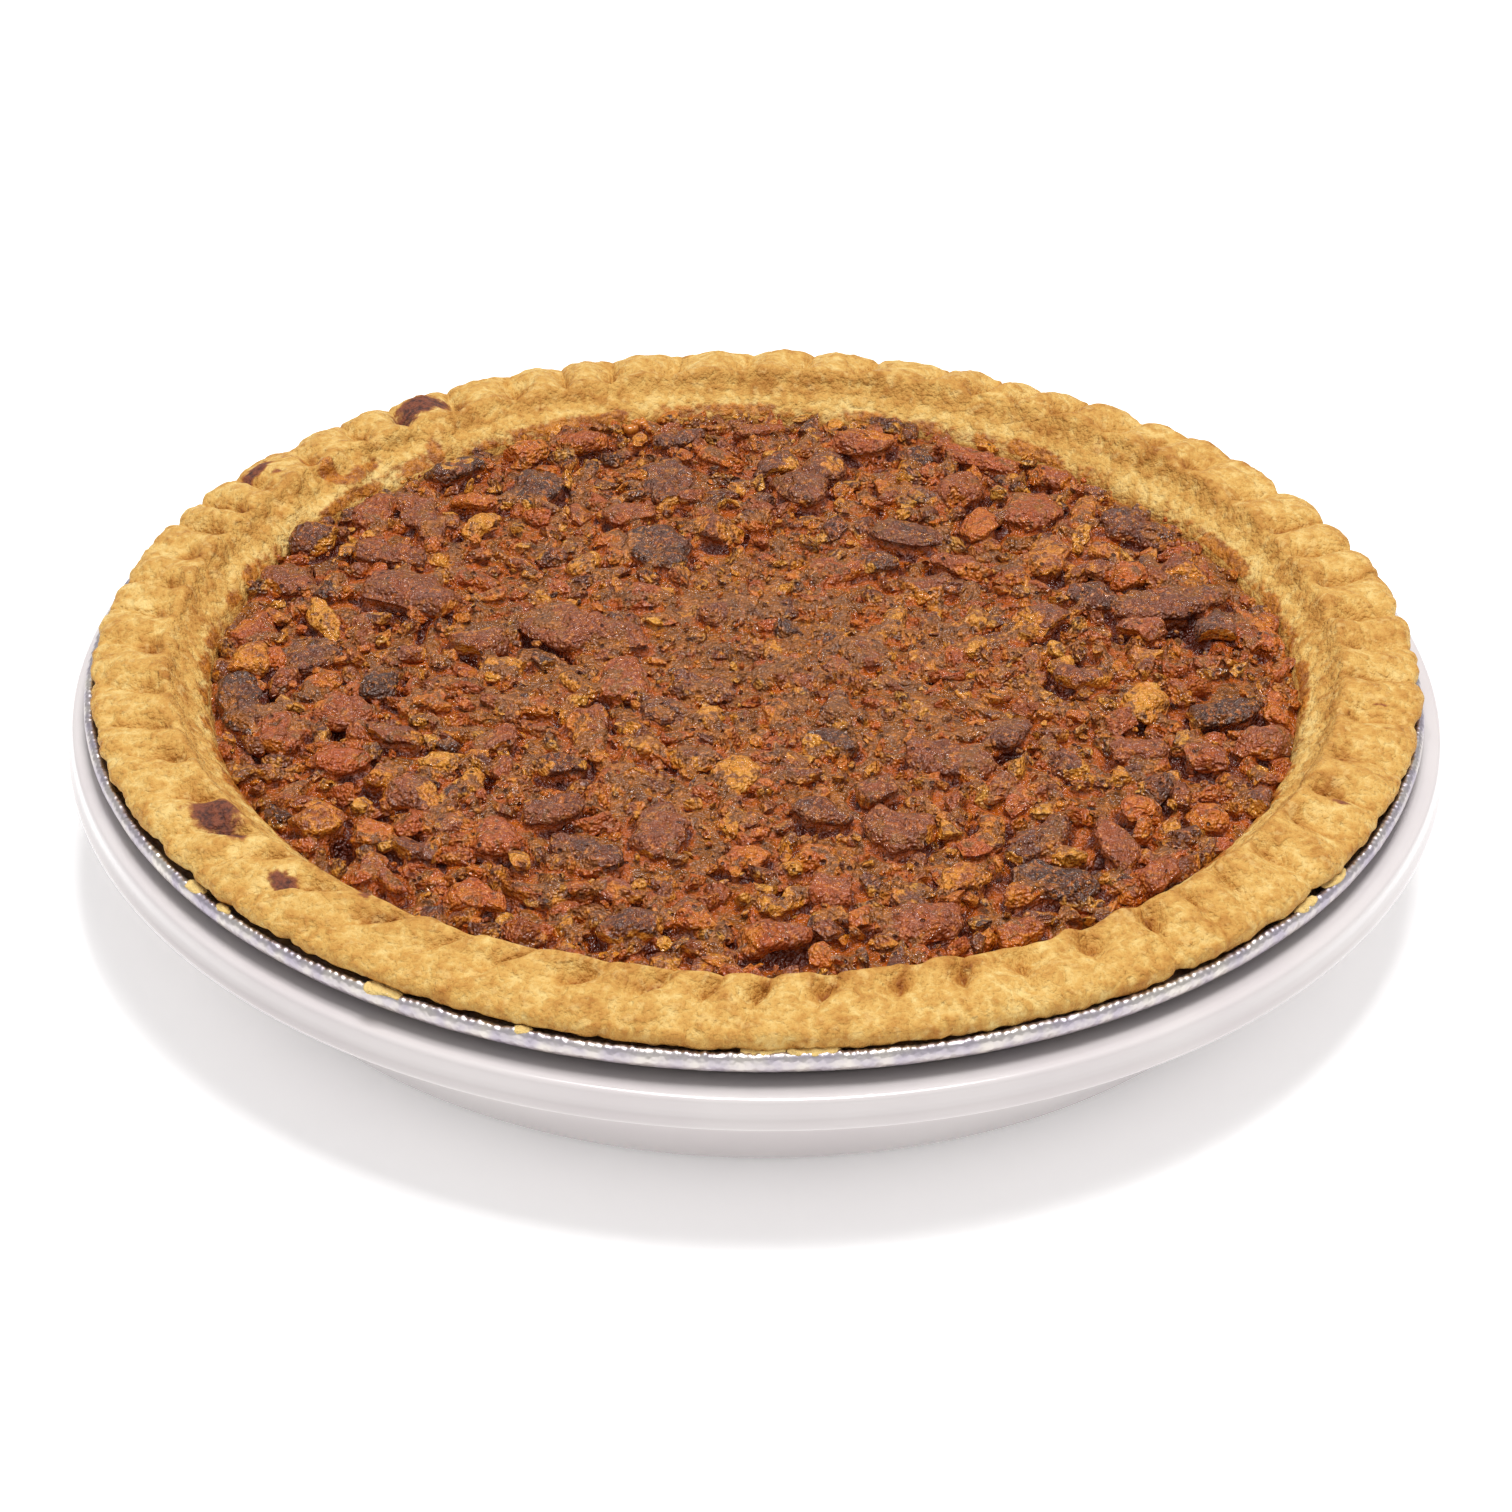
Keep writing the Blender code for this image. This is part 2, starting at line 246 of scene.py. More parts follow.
def grain(place, size, detail=2.0, roughness=0.5, distortion=0.0):
    """Cloudy noise whose clouds are about size metres wide, from 0 to 1 with a mean of 0.5."""
    values = {"Vector": place, "Scale": 1.0 / size, "Detail": detail, "Roughness": roughness}
    values["Distortion"] = distortion
    return place.make("ShaderNodeTexNoise", {}, values)


def speckles(place, size):
    """The distance from scattered dots about size metres apart: 0 at a dot."""
    values = {"Vector": place, "Scale": 1.0 / size}
    return place.make("ShaderNodeTexVoronoi", {"feature": "F1"}, values)


def layer(place, name):
    """A number that was painted on the points of a piece."""
    return place.make("ShaderNodeAttribute", {"attribute_name": name}, {}, out="Fac")


def relief(height, depth):
    """A bumped normal from a height between 0 and 1, as deep as depth metres."""
    values = {"Height": height, "Distance": depth, "Strength": 1.0}
    return height.make("ShaderNodeBump", {}, values)


# %% [markdown]
# ## The dish
#
# The dish is glazed stoneware, thrown or pressed and therefore round. Its thick lip ends in a
# slightly flared lower edge, with a shadow under it where the wall turns in to the foot. A turned
# profile with rounded corners is all it needs: the glaze does the rest, with a soft sheen and very
# faint waves where it ran before it set.


# %% A turned body with rounded corners
def rounded(profile, count=5):
    """Rounds the corners of a profile of (radius, height, corner radius)."""
    line = [profile[0][:2]]
    for before, (radius, height, corner), after in zip(profile, profile[1:], profile[2:]):
        here = np.array([radius, height])
        back, on = np.array(before[:2]) - here, np.array(after[:2]) - here
        reach = min(corner, 0.45 * np.linalg.norm(back), 0.45 * np.linalg.norm(on))
        start = here + reach * back / np.linalg.norm(back)
        end = here + reach * on / np.linalg.norm(on)
        for t in np.linspace(0.0, 1.0, count if corner else 1):
            line.append(tuple((1 - t) ** 2 * start + 2 * t * (1 - t) * here + t**2 * end))
    return line + [profile[-1][:2]]


def turned(name, profile, columns, material):
    """A body of revolution. Its profile runs from the axis underneath, outward, up and back to the axis."""
    turn = tau * np.arange(columns) / columns
    points = [(0.0, 0.0, profile[0][1])]
    for radius, height in profile[1:-1]:
        points += list(zip(radius * np.cos(turn), radius * np.sin(turn), np.full(columns, height)))
    points.append((0.0, 0.0, profile[-1][1]))
    return piece_from(name, points, closed_rings(len(profile) - 2, columns), material)


def glaze_material():
    """White gloss glaze: faint warm clouds, and slow waves that bend its reflections a little."""
    material, shader, place = begin_material("white_glaze", coat_weight=0.6, coat_roughness=0.06)
    clouds = grain(place, 30 * MM, 3.0)
    colour = clouds.between(0.3, 0.7).mixed(paint_of(209, 202, 201), paint_of(204, 196, 196))
    pinholes = speckles(place, 2.6 * MM).between(0.05, 0.02) * grain(place, 9 * MM).between(0.55, 0.65)
    colour = (0.35 * pinholes).mixed(colour, paint_of(176, 166, 158))
    waves = grain(place, 14 * MM, 1.0)
    plug(shader, base_color=colour, roughness=0.16 + 0.12 * clouds, normal=relief(waves, 0.12 * MM))
    return material


# %% Make the dish
FOOT_RADIUS = DISH_RADIUS - 24 * MM
LIP_FOOT = DISH_HEIGHT - 5.5 * MM
dish_profile = rounded([
    (0.0, 1.0 * MM),
    (FOOT_RADIUS - 8.0 * MM, 1.0 * MM, 0.6 * MM),
    (FOOT_RADIUS - 6.6 * MM, 0.0, 0.5 * MM),
    (FOOT_RADIUS - 0.6 * MM, 0.0, 0.8 * MM),
    (FOOT_RADIUS + 1.6 * MM, 1.8 * MM, 2.0 * MM),
    (FOOT_RADIUS + 9.5 * MM, 14.0 * MM, 6.0 * MM),
    (FOOT_RADIUS + 15.0 * MM, LIP_FOOT - 1.9 * MM, 1.2 * MM),
    (DISH_RADIUS - 2.6 * MM, LIP_FOOT - 1.1 * MM, 0.7 * MM),
    (DISH_RADIUS, LIP_FOOT + 0.1 * MM, 0.8 * MM),
    (DISH_RADIUS - 1.2 * MM, LIP_FOOT + 2.0 * MM, 1.6 * MM),
    (DISH_RADIUS - 1.1 * MM, DISH_HEIGHT, 1.3 * MM),
    (DISH_RADIUS - 9.6 * MM, DISH_HEIGHT, 1.6 * MM),
    (DISH_RADIUS - 11.6 * MM, DISH_HEIGHT - 3.0 * MM, 2.0 * MM),
    (FOOT_RADIUS - 2.6 * MM, 7.0 * MM, 6.0 * MM),
    (FOOT_RADIUS - 8.0 * MM, 5.0 * MM, 4.0 * MM),
    (0.0, 5.0 * MM),
])
dish = turned("glazed_dish", dish_profile, 256, glaze_material())
# the lip's outermost ring lands exactly on the construction model's radius
widest = max(vertex.co.xy.length for vertex in dish.data.vertices)
dish.data.transform(Matrix.Diagonal((DISH_RADIUS / widest, DISH_RADIUS / widest, 1.0, 1.0)))
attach(dish, "root")
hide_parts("dish")
print("dish:", len(dish_profile), "rings,", len(dish.data.polygons), "faces")

# %% [markdown]
# ## The foil tin
#
# A foil pie tin is pressed from thin sheet, so its rim puckers into hundreds of small pleats before
# its edge is rolled over. Only the rim shows, under the crust. The rolled bead gets the pleats as
# real shape: no two alike, deep on top and fading down the outer side, with a few dents as any
# handled tin has.

# %% [markdown]
# Nothing on a baked pie is quite even, so most of its shapes get a little noise. The random numbers
# are worked out from the place itself: a point gets the same value however often it is asked for.


# %% Noise and soft steps
def hashed(ix, iy, iz, seed):
    """A number from -1 to 1 for each cell of a lattice, always the same for the same cell and seed."""
    mixed = (ix * 73856093) ^ (iy * 19349663) ^ (iz * 83492791) ^ (seed * 2654435761)
    mixed = (mixed ^ (mixed >> 13)) * 1274126177
    mixed = (mixed ^ (mixed >> 16)) & 0xFFFF
    return mixed / 32767.5 - 1.0


def noise(points, size, seed=0):
    """Smooth random swells, about as wide as size, between -1 and 1."""
    cells = np.asarray(points, float) / size + 1000.0
    corner = np.floor(cells).astype(np.int64)
    part = cells - corner
    part = part * part * (3.0 - 2.0 * part)
    total = 0.0
    for dx in (0, 1):
        for dy in (0, 1):
            for dz in (0, 1):
                weight = np.ones(len(cells))
                for axis, step in enumerate((dx, dy, dz)):
                    weight = weight * (part[:, axis] if step else 1.0 - part[:, axis])
                total = total + weight * hashed(corner[:, 0] + dx, corner[:, 1] + dy, corner[:, 2] + dz, seed)
    return total


def smoothstep(low, high, value):
    """0 below low, 1 above high, and an even slope between them."""
    share = np.clip((value - low) / (high - low), 0.0, 1.0)
    return share * share * (3.0 - 2.0 * share)


def hump(bearing, middle, width):
    """1 at the bearing called middle, falling to 0 over about twice the width on each side. Degrees."""
    away = (bearing - middle + 180.0) % 360.0 - 180.0
    return np.exp(-((away / width) ** 2))


print("noise at three places:", noise([(0.0, 0.0, 0.0), (0.5, 0.0, 0.0), (1.5, 0.0, 0.0)], 1.0, 1).round(2))

# %% Make the tin
TIN_RIM_Z = 33.6 * MM
TIN_FLOOR_Z = 6.8 * MM
FOIL = 0.45 * MM
PLEATS = 540
BEAD = 1.15 * MM


def tin_wall(height):
    """Radius of the tin's inner face at a height between its floor and its rim."""
    return (96.6 + 19.6 * (height - TIN_FLOOR_Z) / (TIN_RIM_Z - TIN_FLOOR_Z)) * MM


def foil_material():
    """Bright crumpled foil with dull rolled streaks along it."""
    material, shader, place = begin_material("foil", metallic=1.0)
    clouds = grain(place, 5 * MM, 3.0)
    colour = clouds.between(0.3, 0.7).mixed(paint_of(208, 201, 194), paint_of(178, 170, 182))
    crumple = 0.6 * grain(place, 2.2 * MM, 2.0) + 0.4 * speckles(place, 1.1 * MM)
    plug(shader, base_color=colour, roughness=0.3 + 0.2 * clouds, normal=relief(crumple, 0.3 * MM))
    return material


def make_tin(material):
    """The tin's shell, inside and out, with the pleated bead at its edge."""
    columns = PLEATS * 4
    turn = tau * np.arange(columns) / columns
    bead_r, bead_z = TIN_RADIUS - BEAD, TIN_RIM_Z + 0.45 * MM
    rows = [(tin_wall(TIN_FLOOR_Z) - 2.0 * MM, TIN_FLOOR_Z, 0.0), (97.6 * MM, TIN_FLOOR_Z + 1.2 * MM, 0.0)]
    rows += [(tin_wall(32 * MM) + 0.4 * MM, 32 * MM, 0.0), (117.6 * MM, 33.15 * MM, 0.1)]
    rows += [(121.6 * MM, 33.2 * MM, 0.3), (TIN_RADIUS - 1.9 * MM, 32.8 * MM, 0.0)]
    for angle in (-78.0, -40.0, -5.0, 30.0, 62.0, 95.0, 128.0):
        pleated = smoothstep(-30.0, 50.0, angle)
        reach, rise = cos(radians(angle)), sin(radians(angle))
        rows.append((bead_r + BEAD * reach, bead_z + 1.15 * BEAD * rise, float(pleated)))
    rows += [(TIN_RADIUS - 2.5 * MM, TIN_RIM_Z + 0.1 * MM, 0.5), (121.4 * MM, TIN_RIM_Z + 0.05 * MM, 0.4)]
    rows += [(117.4 * MM, TIN_RIM_Z, 0.1), (tin_wall(32 * MM), 32 * MM, 0.0)]
    rows += [(97.2 * MM, TIN_FLOOR_Z + 1.5 * MM, 0.0), (94.2 * MM, TIN_FLOOR_Z + FOIL, 0.0)]
    edge = TIN_RADIUS * np.column_stack([np.cos(turn), np.sin(turn), 0 * turn])
    dents = noise(np.column_stack([30 * np.cos(turn), 30 * np.sin(turn), 0 * turn]), 2.6, 8)
    points = [(0.0, 0.0, TIN_FLOOR_Z)]
    for number, (radius, height, pleated) in enumerate(rows):
        slant = edge + (0.0, 0.0, 0.35 * MM * number)
        pleat = 0.08 * MM * np.cos(PLEATS * turn + 2.0 * noise(slant, 4.0 * MM, 4))
        pleat = pleat + 0.2 * MM * noise(slant, MM, 5)
        reach = radius + 0.35 * pleated * pleat - 0.0001 * (radius > 118 * MM) * np.abs(dents)
        level = height + pleated * pleat + 0.22 * MM * pleated * dents
        under_edge = (radius > 122 * MM) * (height < 34 * MM)
        level = level - 0.9 * MM * hump(np.degrees(turn), 270.0, 60.0) * under_edge
        points += list(zip(reach * np.cos(turn), reach * np.sin(turn), np.broadcast_to(level, columns)))
    points.append((0.0, 0.0, TIN_FLOOR_Z + FOIL))
    return piece_from("foil_tin", laid_in_dish(points), closed_rings(len(rows), columns), material)


tin = make_tin(foil_material())
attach(tin, "root")
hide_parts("tin")
print("tin:", PLEATS, "pleats,", len(tin.data.polygons), "faces")

# %% [markdown]
# ## The crust
#
# The rim was crimped by hand: fifty-nine pinches, each leaving a slanting crease with a thumb pit
# near the crest. In the oven the dough slumped over the tin's edge, puffed, flaked and browned, so
# no two crimps match. The surface is built as rings round the pie. A ring knows its place on the
# crust's section, and a column its place counted in crimps, so each crease follows a column. The
# columns crowd together at the creases, where the shape turns quickly.

# %% The rules that the crimps follow
COLUMNS_PER_CRIMP = 22
CREASE_CROWDING = 0.5
# stretches of the rim that differ from the rest: bearing of the middle and width, in degrees
FRONT, LEFT = (265.0, 60.0), (180.0, 45.0)
TWISTED_MORE, TWISTED_LESS = (228.0, 42.0), (2.0, 38.0)
SKEWED, SHALLOW = (240.0, 60.0), (262.0, 60.0)
CUT_DEEP, SPREAD = (40.0, 40.0), (20.0, 26.0)
SUNKEN, SLUMPED = (118.0, 24.0), (285.0, 42.0)
BROKEN = (141.0, 15.0)


def crimp_bearing(crimp):
    """Bearing, in radians, of a place counted in crimps. Hand-made crimps wander a little."""
    turn = tau * crimp / CRIMPS
    wander = 0.24 * np.sin(3 * turn + 0.7) + 0.14 * np.sin(7 * turn + 2.1) + 0.10 * np.sin(16 * turn + 4.0)
    return turn + tau * wander / CRIMPS


def crimp_twist(crimp):
    """How far the inner end of a crease runs ahead of its outer end, in crimps."""
    bearing = 360.0 * crimp / CRIMPS
    return 0.35 + 0.85 * hump(bearing, *TWISTED_MORE) - 0.7 * hump(bearing, *TWISTED_LESS)


def crust_lump(crimp, seed):
    """A slow unevenness of the pastry, between about -1 and 1."""
    turn = tau * crimp / CRIMPS
    slow = 0.5 * np.sin(4 * turn + 1.3 * seed) + 0.3 * np.sin(9 * turn + 2.9 * seed)
    return slow + 0.2 * np.sin(23 * turn + seed)


# %% [markdown]
# The section of the rim is a short list of places, from under its outer edge, over the crest, down
# to the filling. Each place also says how the pastry behaves there: how far a crease cuts in and
# down, how much of the twist has happened, how uneven it is, how brown and how flaky.

# %% The rim's section and its shape
# radius and height in mm, crease in, crease down, twist, unevenness, browning, flakiness
RIM_SECTION = [
    (113.0, 34.15, 0.0, 0.0, 0.0, 0.0, 0.50, 0.0),
    (118.8, 34.4, 0.0, -0.1, 0.0, 0.1, 0.60, 0.5),
    (122.1, 35.5, 0.4, -0.3, 0.0, 0.3, 0.55, 1.0),
    (123.6, 36.7, 0.9, 0.0, 0.0, 0.5, 0.45, 1.0),
    (123.5, 38.2, 0.9, 0.4, 0.05, 0.8, 0.42, 1.0),
    (121.4, 39.5, 0.6, 1.5, 0.15, 1.0, 0.40, 0.9),
    (118.0, 40.4, 0.2, 2.7, 0.32, 1.0, 0.37, 0.8),
    (114.6, 40.9, 0.0, 3.2, 0.5, 1.0, 0.37, 0.7),
    (111.6, 41.3, 0.0, 2.3, 0.7, 1.0, 0.42, 0.6),
    (109.9, 41.4, 0.0, 1.1, 0.85, 1.0, 0.50, 0.5),
    (108.8, 40.2, 0.0, 0.6, 0.95, 0.9, 0.48, 0.6),
    (107.7, 38.5, 0.0, 0.4, 1.0, 0.6, 0.50, 0.9),
    (106.6, 37.2, 0.0, 0.2, 1.0, 0.4, 0.44, 0.9),
    (105.2, 36.1, 0.0, 0.1, 1.0, 0.3, 0.30, 0.6),
    (103.6, 34.7, 0.0, 0.0, 1.0, 0.2, 0.26, 0.5),
    (102.5, 33.4, 0.0, 0.0, 1.0, 0.1, 0.36, 0.3),
    (101.7, 31.4, 0.0, 0.0, 1.0, 0.0, 0.60, 0.0),
]
RIM_ROWS = 60
MEAN_RADIUS = 112.0


def through(points, count):
    """Places along a smooth curve through the points, evenly spaced by the first two coordinates."""
    points = np.array(points, float)
    padded = np.vstack([2 * points[0] - points[1], points, 2 * points[-1] - points[-2]])
    t = np.linspace(0.0, 1.0, 12, endpoint=False)[:, None]
    spans = []
    for a, b, c, d in zip(padded, padded[1:], padded[2:], padded[3:]):
        bend = (2 * a - 5 * b + 4 * c - d) * t**2 + (3 * b - a - 3 * c + d) * t**3
        spans.append(0.5 * (2 * b + (c - a) * t + bend))
    fine = np.vstack([*spans, points[-1:]])
    run = np.concatenate([[0.0], np.cumsum(np.linalg.norm(np.diff(fine[:, :2], axis=0), axis=1))])
    places = np.linspace(0.0, run[-1], count)
    return np.column_stack([np.interp(places, run, column) for column in fine.T])


def crust_grid():
    """The rim as rows by columns: the crimp number of each column and each row's section values."""
    step = np.arange(CRIMPS * COLUMNS_PER_CRIMP) / COLUMNS_PER_CRIMP
    crimp = step - CREASE_CROWDING / tau * np.sin(tau * step)
    return crimp, through(RIM_SECTION, RIM_ROWS)


def per_crimp(crimp, seed, shift=0.0):
    """A random number from 0 to 1 for each crimp, which its neighbours don't share."""
    number = np.floor(crimp + shift).astype(np.int64) % CRIMPS
    return 0.5 + 0.5 * hashed(number, number * 0, number * 0, seed)


print("rim:", len(RIM_SECTION), "places on its section,", RIM_ROWS, "rings")


# %% One crimp, and the flaking of the dough
def crimp_marks(grid_crimp, degrees, radius):
    """How hollow, how pitted and how creased the rim is: a steep side, a soft side, a crease and a pit."""
    phase = grid_crimp % 1.0
    skew = 0.85 + 0.5 * per_crimp(grid_crimp, 3) - 0.35 * hump(degrees, *SKEWED)
    lobe = np.abs(np.sin(pi * phase**skew)) ** 0.75
    hollow = (1.0 - lobe) * (0.7 + 0.6 * per_crimp(grid_crimp, 4, 0.5))
    edge_phase = np.minimum(phase, 1.0 - phase)
    pit = np.exp(-((edge_phase / 0.2) ** 2)) * np.exp(-(((radius - 112.8) / 2.2) ** 2))
    pit = pit * (0.3 + 1.1 * per_crimp(grid_crimp, 7, 0.5))
    crease = np.exp(-((edge_phase / 0.045) ** 2)) * smoothstep(0.2, 0.8, per_crimp(grid_crimp, 9, 0.5))
    crease = crease * (1.0 - 0.75 * hump(degrees, *SHALLOW))
    return hollow, pit, crease * smoothstep(109.0, 112.0, radius)


def combed_noise(around, run, width, length, seed):
    """Places squeezed so that noise runs along the section, width by length in mm, and that noise."""
    places = np.stack([around / width, np.broadcast_to(run / length, around.shape), 0 * around], axis=-1)
    places = places.reshape(-1, 3)
    return places, noise(places, 1.0, seed).reshape(around.shape)


# %% The rim's surface
def rim_surface():
    """The rim's points in mm, ring by ring, and how brown each of them bakes, with painted shade and painted
    highlights added in.
    """
    crimp, section = crust_grid()
    slope = np.gradient(section[:, :2], axis=0)
    slope /= np.linalg.norm(slope, axis=1, keepdims=True)
    grid_crimp = np.broadcast_to(crimp, (RIM_ROWS, len(crimp)))
    radius, height, cut_in, cut_down, twist, uneven, brown, flaky = (column[:, None] for column in section.T)
    bearing = crimp_bearing(grid_crimp + twist * crimp_twist(grid_crimp))
    degrees = np.degrees(bearing) % 360.0

    # the crimps, and the stretches where the edge spreads, sinks or slumps
    hollow, pit, crease = crimp_marks(grid_crimp, degrees, radius)
    front, left = hump(degrees, *FRONT), hump(degrees, *LEFT)
    wall = smoothstep(109.0, 120.0, radius)
    reach = radius - cut_in * hollow * (1.0 - 0.6 * front + 0.8 * hump(degrees, *CUT_DEEP))
    reach = reach + 1.7 * hump(degrees, *SPREAD) * smoothstep(108.0, 122.0, radius)
    merged = 1.0 - 0.75 * front * smoothstep(112.5, 117.5, radius)
    level = height - cut_down * hollow * merged - 0.9 * pit - 0.35 * crease * merged
    level = level - 1.0 * hump(degrees, *SUNKEN) * smoothstep(104.0, 110.0, radius)
    level = level - 1.0 * hump(degrees, *SLUMPED) * wall * smoothstep(38.2, 36.2, height)
    level = level + 0.5 * uneven * crust_lump(grid_crimp, 1.0 + 4.0 * (radius - 102.0) / 22.0)
    flat = np.stack([reach * np.cos(bearing), reach * np.sin(bearing), level], axis=-1).reshape(-1, 3)

    # swells, lumps and flakes, each along the surface's own direction outward
    size = (RIM_ROWS, len(crimp))
    swell = noise(flat, 7.0, 11).reshape(size)
    lump = noise(flat, 3.1, 12).reshape(size)
    fleck = noise(flat, 1.35, 13).reshape(size)
    run = np.cumsum(np.r_[0.0, np.linalg.norm(np.diff(section[:, :2], axis=0), axis=1)])[:, None]
    around = bearing * MEAN_RADIUS
    streak = combed_noise(around, run, 1.5, 6.0, 14)[1]
    coarse, ridge = combed_noise(around, run, 3.4, 9.0, 15)
    broken = hump(degrees, *BROKEN) * np.exp(-(((radius - 106.5) / 3.6) ** 2))
    out = 0.34 * uneven * swell + (0.32 + 0.18 * front) * uneven * lump + 0.26 * flaky * fleck
    out = out + (0.1 + 0.12 * front * wall + 0.1 * left) * flaky * streak
    out = out + (0.10 + 0.30 * left * wall) * uneven * ridge + broken * (1.5 * lump + 0.9 * swell + 0.6)
    ragged = np.exp(-(((height - 35.3) / 0.9) ** 2)) * wall
    out = out + ragged * (0.55 * noise(coarse * 1.7, 1.0, 16).reshape(size) - 0.2)
    reach = reach + slope[:, 1:2] * out
    level = level - slope[:, 0:1] * out

    # painted shade darkens thumb pits, creases and the foot of the front face; painted highlights pale the
    # left's ridges and raised streaks
    bake = brown + 0.12 * swell + 0.12 * lump + 0.10 * fleck + 0.32 * pit + 0.12 * crease * merged
    bake = bake - 0.22 * np.clip(ridge, 0, 1) * left * wall - 0.15 * np.clip(streak, 0, 1) * wall
    bake = bake + 0.12 * front * smoothstep(39.0, 36.0, height) - 0.45 * broken * np.clip(lump + 0.2, 0, 1)
    points = np.stack([reach * np.cos(bearing), reach * np.sin(bearing), level], axis=-1)
    return points.reshape(-1, 3), bake.ravel()


# %% [markdown]
# Where sugar boiled over or the dough stood proud, the oven burnt it. Each burn is an oval with a
# soft edge, which the material later breaks up with noise. The caramel leaks are strings of small
# ovals along their paths.

# %% Burns and leaks on the crust
# x, y, length, width in mm, heading in degrees, strength
BURNS = [
    (-70.4, 92.8, 13.0, 7.5, 38, 1.0),
    (-73.5, 88.0, 5.0, 7.0, 38, 0.8),
    (-101.5, 63.1, 7.5, 3.6, 55, 1.0),
    (-96.5, 61.0, 5.5, 2.4, 20, 0.55),
    (-95.0, 69.5, 9.0, 2.0, 40, 0.5),
    (-93.3, -64.1, 11.0, 8.0, 125, 0.95),
    (-89.5, -69.5, 7.0, 3.5, 130, 0.85),
    (-79.4, -83.6, 5.6, 4.4, 150, 0.85),
    (-64.9, -88.9, 4.5, 2.4, 120, 0.75),
    (103.7, -54.4, 5.5, 2.0, 2, 0.62),
    (114.9, -20.6, 4.6, 1.0, 8, 0.6),
]
LEAKS = [
    (-87.3, 64.5, 4.0, 2.4, 50, 0.9),
    (-85.0, 64.2, 5.0, 2.6, 0, 1.0),
    (-81.5, 66.5, 7.5, 2.6, 55, 1.0),
    (-90.5, 67.0, 8.0, 1.8, 150, 0.7),
    (-78.8, 71.5, 6.0, 1.8, 60, 0.8),
    (-84.5, 59.5, 6.0, 1.8, 75, 0.6),
    (-66.5, 79.6, 5.0, 3.6, 120, 1.0),
    (-45.1, 97.5, 7.0, 3.0, 160, 0.38),
    (-8.0, 108.5, 9.0, 2.6, 175, 0.30),
    (23.1, 109.2, 14.0, 2.8, -15, 0.42),
    (70.7, 81.5, 7.0, 3.0, -45, 0.42),
]


print(len(BURNS), "burns and", len(LEAKS), "leaks")


# %% How marks cover the points
def ovals(points, marks):
    """How strongly the marks cover each point: the mark's strength at its middle, 0 at twice its edge."""
    cover = np.zeros(len(points))
    for x, y, length, width, heading, strength in marks:
        turn = radians(heading)
        east, north = points[:, 0] - x, points[:, 1] - y
        along = (east * cos(turn) + north * sin(turn)) / (0.5 * length)
        across = (north * cos(turn) - east * sin(turn)) / (0.5 * width)
        cover = np.maximum(cover, strength * np.clip(1.35 - 0.8 * np.hypot(along, across), 0.0, 1.0))
    return cover


# %% Pastry material
BROWNING = [
    (0.0, paint_of(223, 191, 121)),
    (0.3, paint_of(206, 161, 84)),
    (0.5, paint_of(193, 141, 66)),
    (0.75, paint_of(172, 114, 43)),
    (1.0, paint_of(144, 82, 25)),
]


def pastry_material():
    """Baked shortcrust: pale where it was sheltered, gold to brown where it stood proud, with painted shade
    in pits, creases and pores and painted highlights on flakes.
    """
    material, shader, place = begin_material("baked_pastry", specular_ior_level=0.3)
    bake, burn, leak = layer(place, "bake"), layer(place, "burn"), layer(place, "leak")
    fine, tiny = grain(place, 1.4 * MM, 3.0), grain(place, 0.6 * MM, 3.0)
    blotch = grain(place, 3.2 * MM, 4.0, distortion=0.8)
    browning_and_painted_light = (bake + 0.7 * (fine - 0.5) + 0.4 * (tiny - 0.5) + 0.9 * (blotch - 0.5)).clamped()
    colour = browning_and_painted_light.ramp(BROWNING)
    # pale cream spots are painted highlights on raised flakes
    cream_highlight = grain(place, 2.2 * MM, 4.0).between(0.54, 0.68)
    colour = (0.4 * cream_highlight).mixed(colour, paint_of(228, 195, 125))
    # pores are painted darker as shade inside the small holes, and also sink the relief
    pores = speckles(place, 1.1 * MM).between(0.28, 0.1) * grain(place, 2.4 * MM).between(0.46, 0.58)
    colour = (0.2 * pores).mixed(colour, paint_of(146, 90, 35))
    # amber caramel: real leaks, and the band at the inner wall's foot, which is partly painted shade
    caramel = (leak + 0.9 * (fine - 0.5) + 0.4 * (blotch - 0.5)).between(0.28, 0.75)
    amber = grain(place, 1.6 * MM).between(0.36, 0.62).mixed(paint_of(136, 66, 12), paint_of(188, 114, 32))
    colour = (0.88 * caramel).mixed(colour, amber)
    scorch = burn + 0.6 * (fine - 0.5) + 0.7 * (blotch - 0.5)
    colour = (0.85 * scorch.between(0.36, 0.6)).mixed(colour, paint_of(150, 84, 36))
    char = (fine + 0.6 * (tiny - 0.5)).between(0.3, 0.65).mixed(paint_of(62, 34, 34), paint_of(122, 66, 46))
    colour = (0.95 * scorch.between(0.5, 0.75)).mixed(colour, char)
    height = 0.6 * fine + 0.25 * tiny + 0.5 * blotch - 0.08 * pores
    plug(shader, base_color=colour, roughness=(0.74 - 0.4 * caramel - 0.1 * browning_and_painted_light).clamped(),
         normal=relief(height, 1.5 * MM))
    return material


pastry = pastry_material()
print("pastry:", len(pastry.node_tree.nodes), "shader nodes")


# %% Make the crust
# radius and height in mm of the shell's hidden wall and floor: outside going up, inside going down
HIDDEN_OUTSIDE = [(94.4, 7.8), (98.0, 11.0), (114.0, 32.0), (115.6, 34.0)]
HIDDEN_INSIDE = [(92.9, 12.4), (91.0, 11.2)]
MARKS_FROM = 33.0


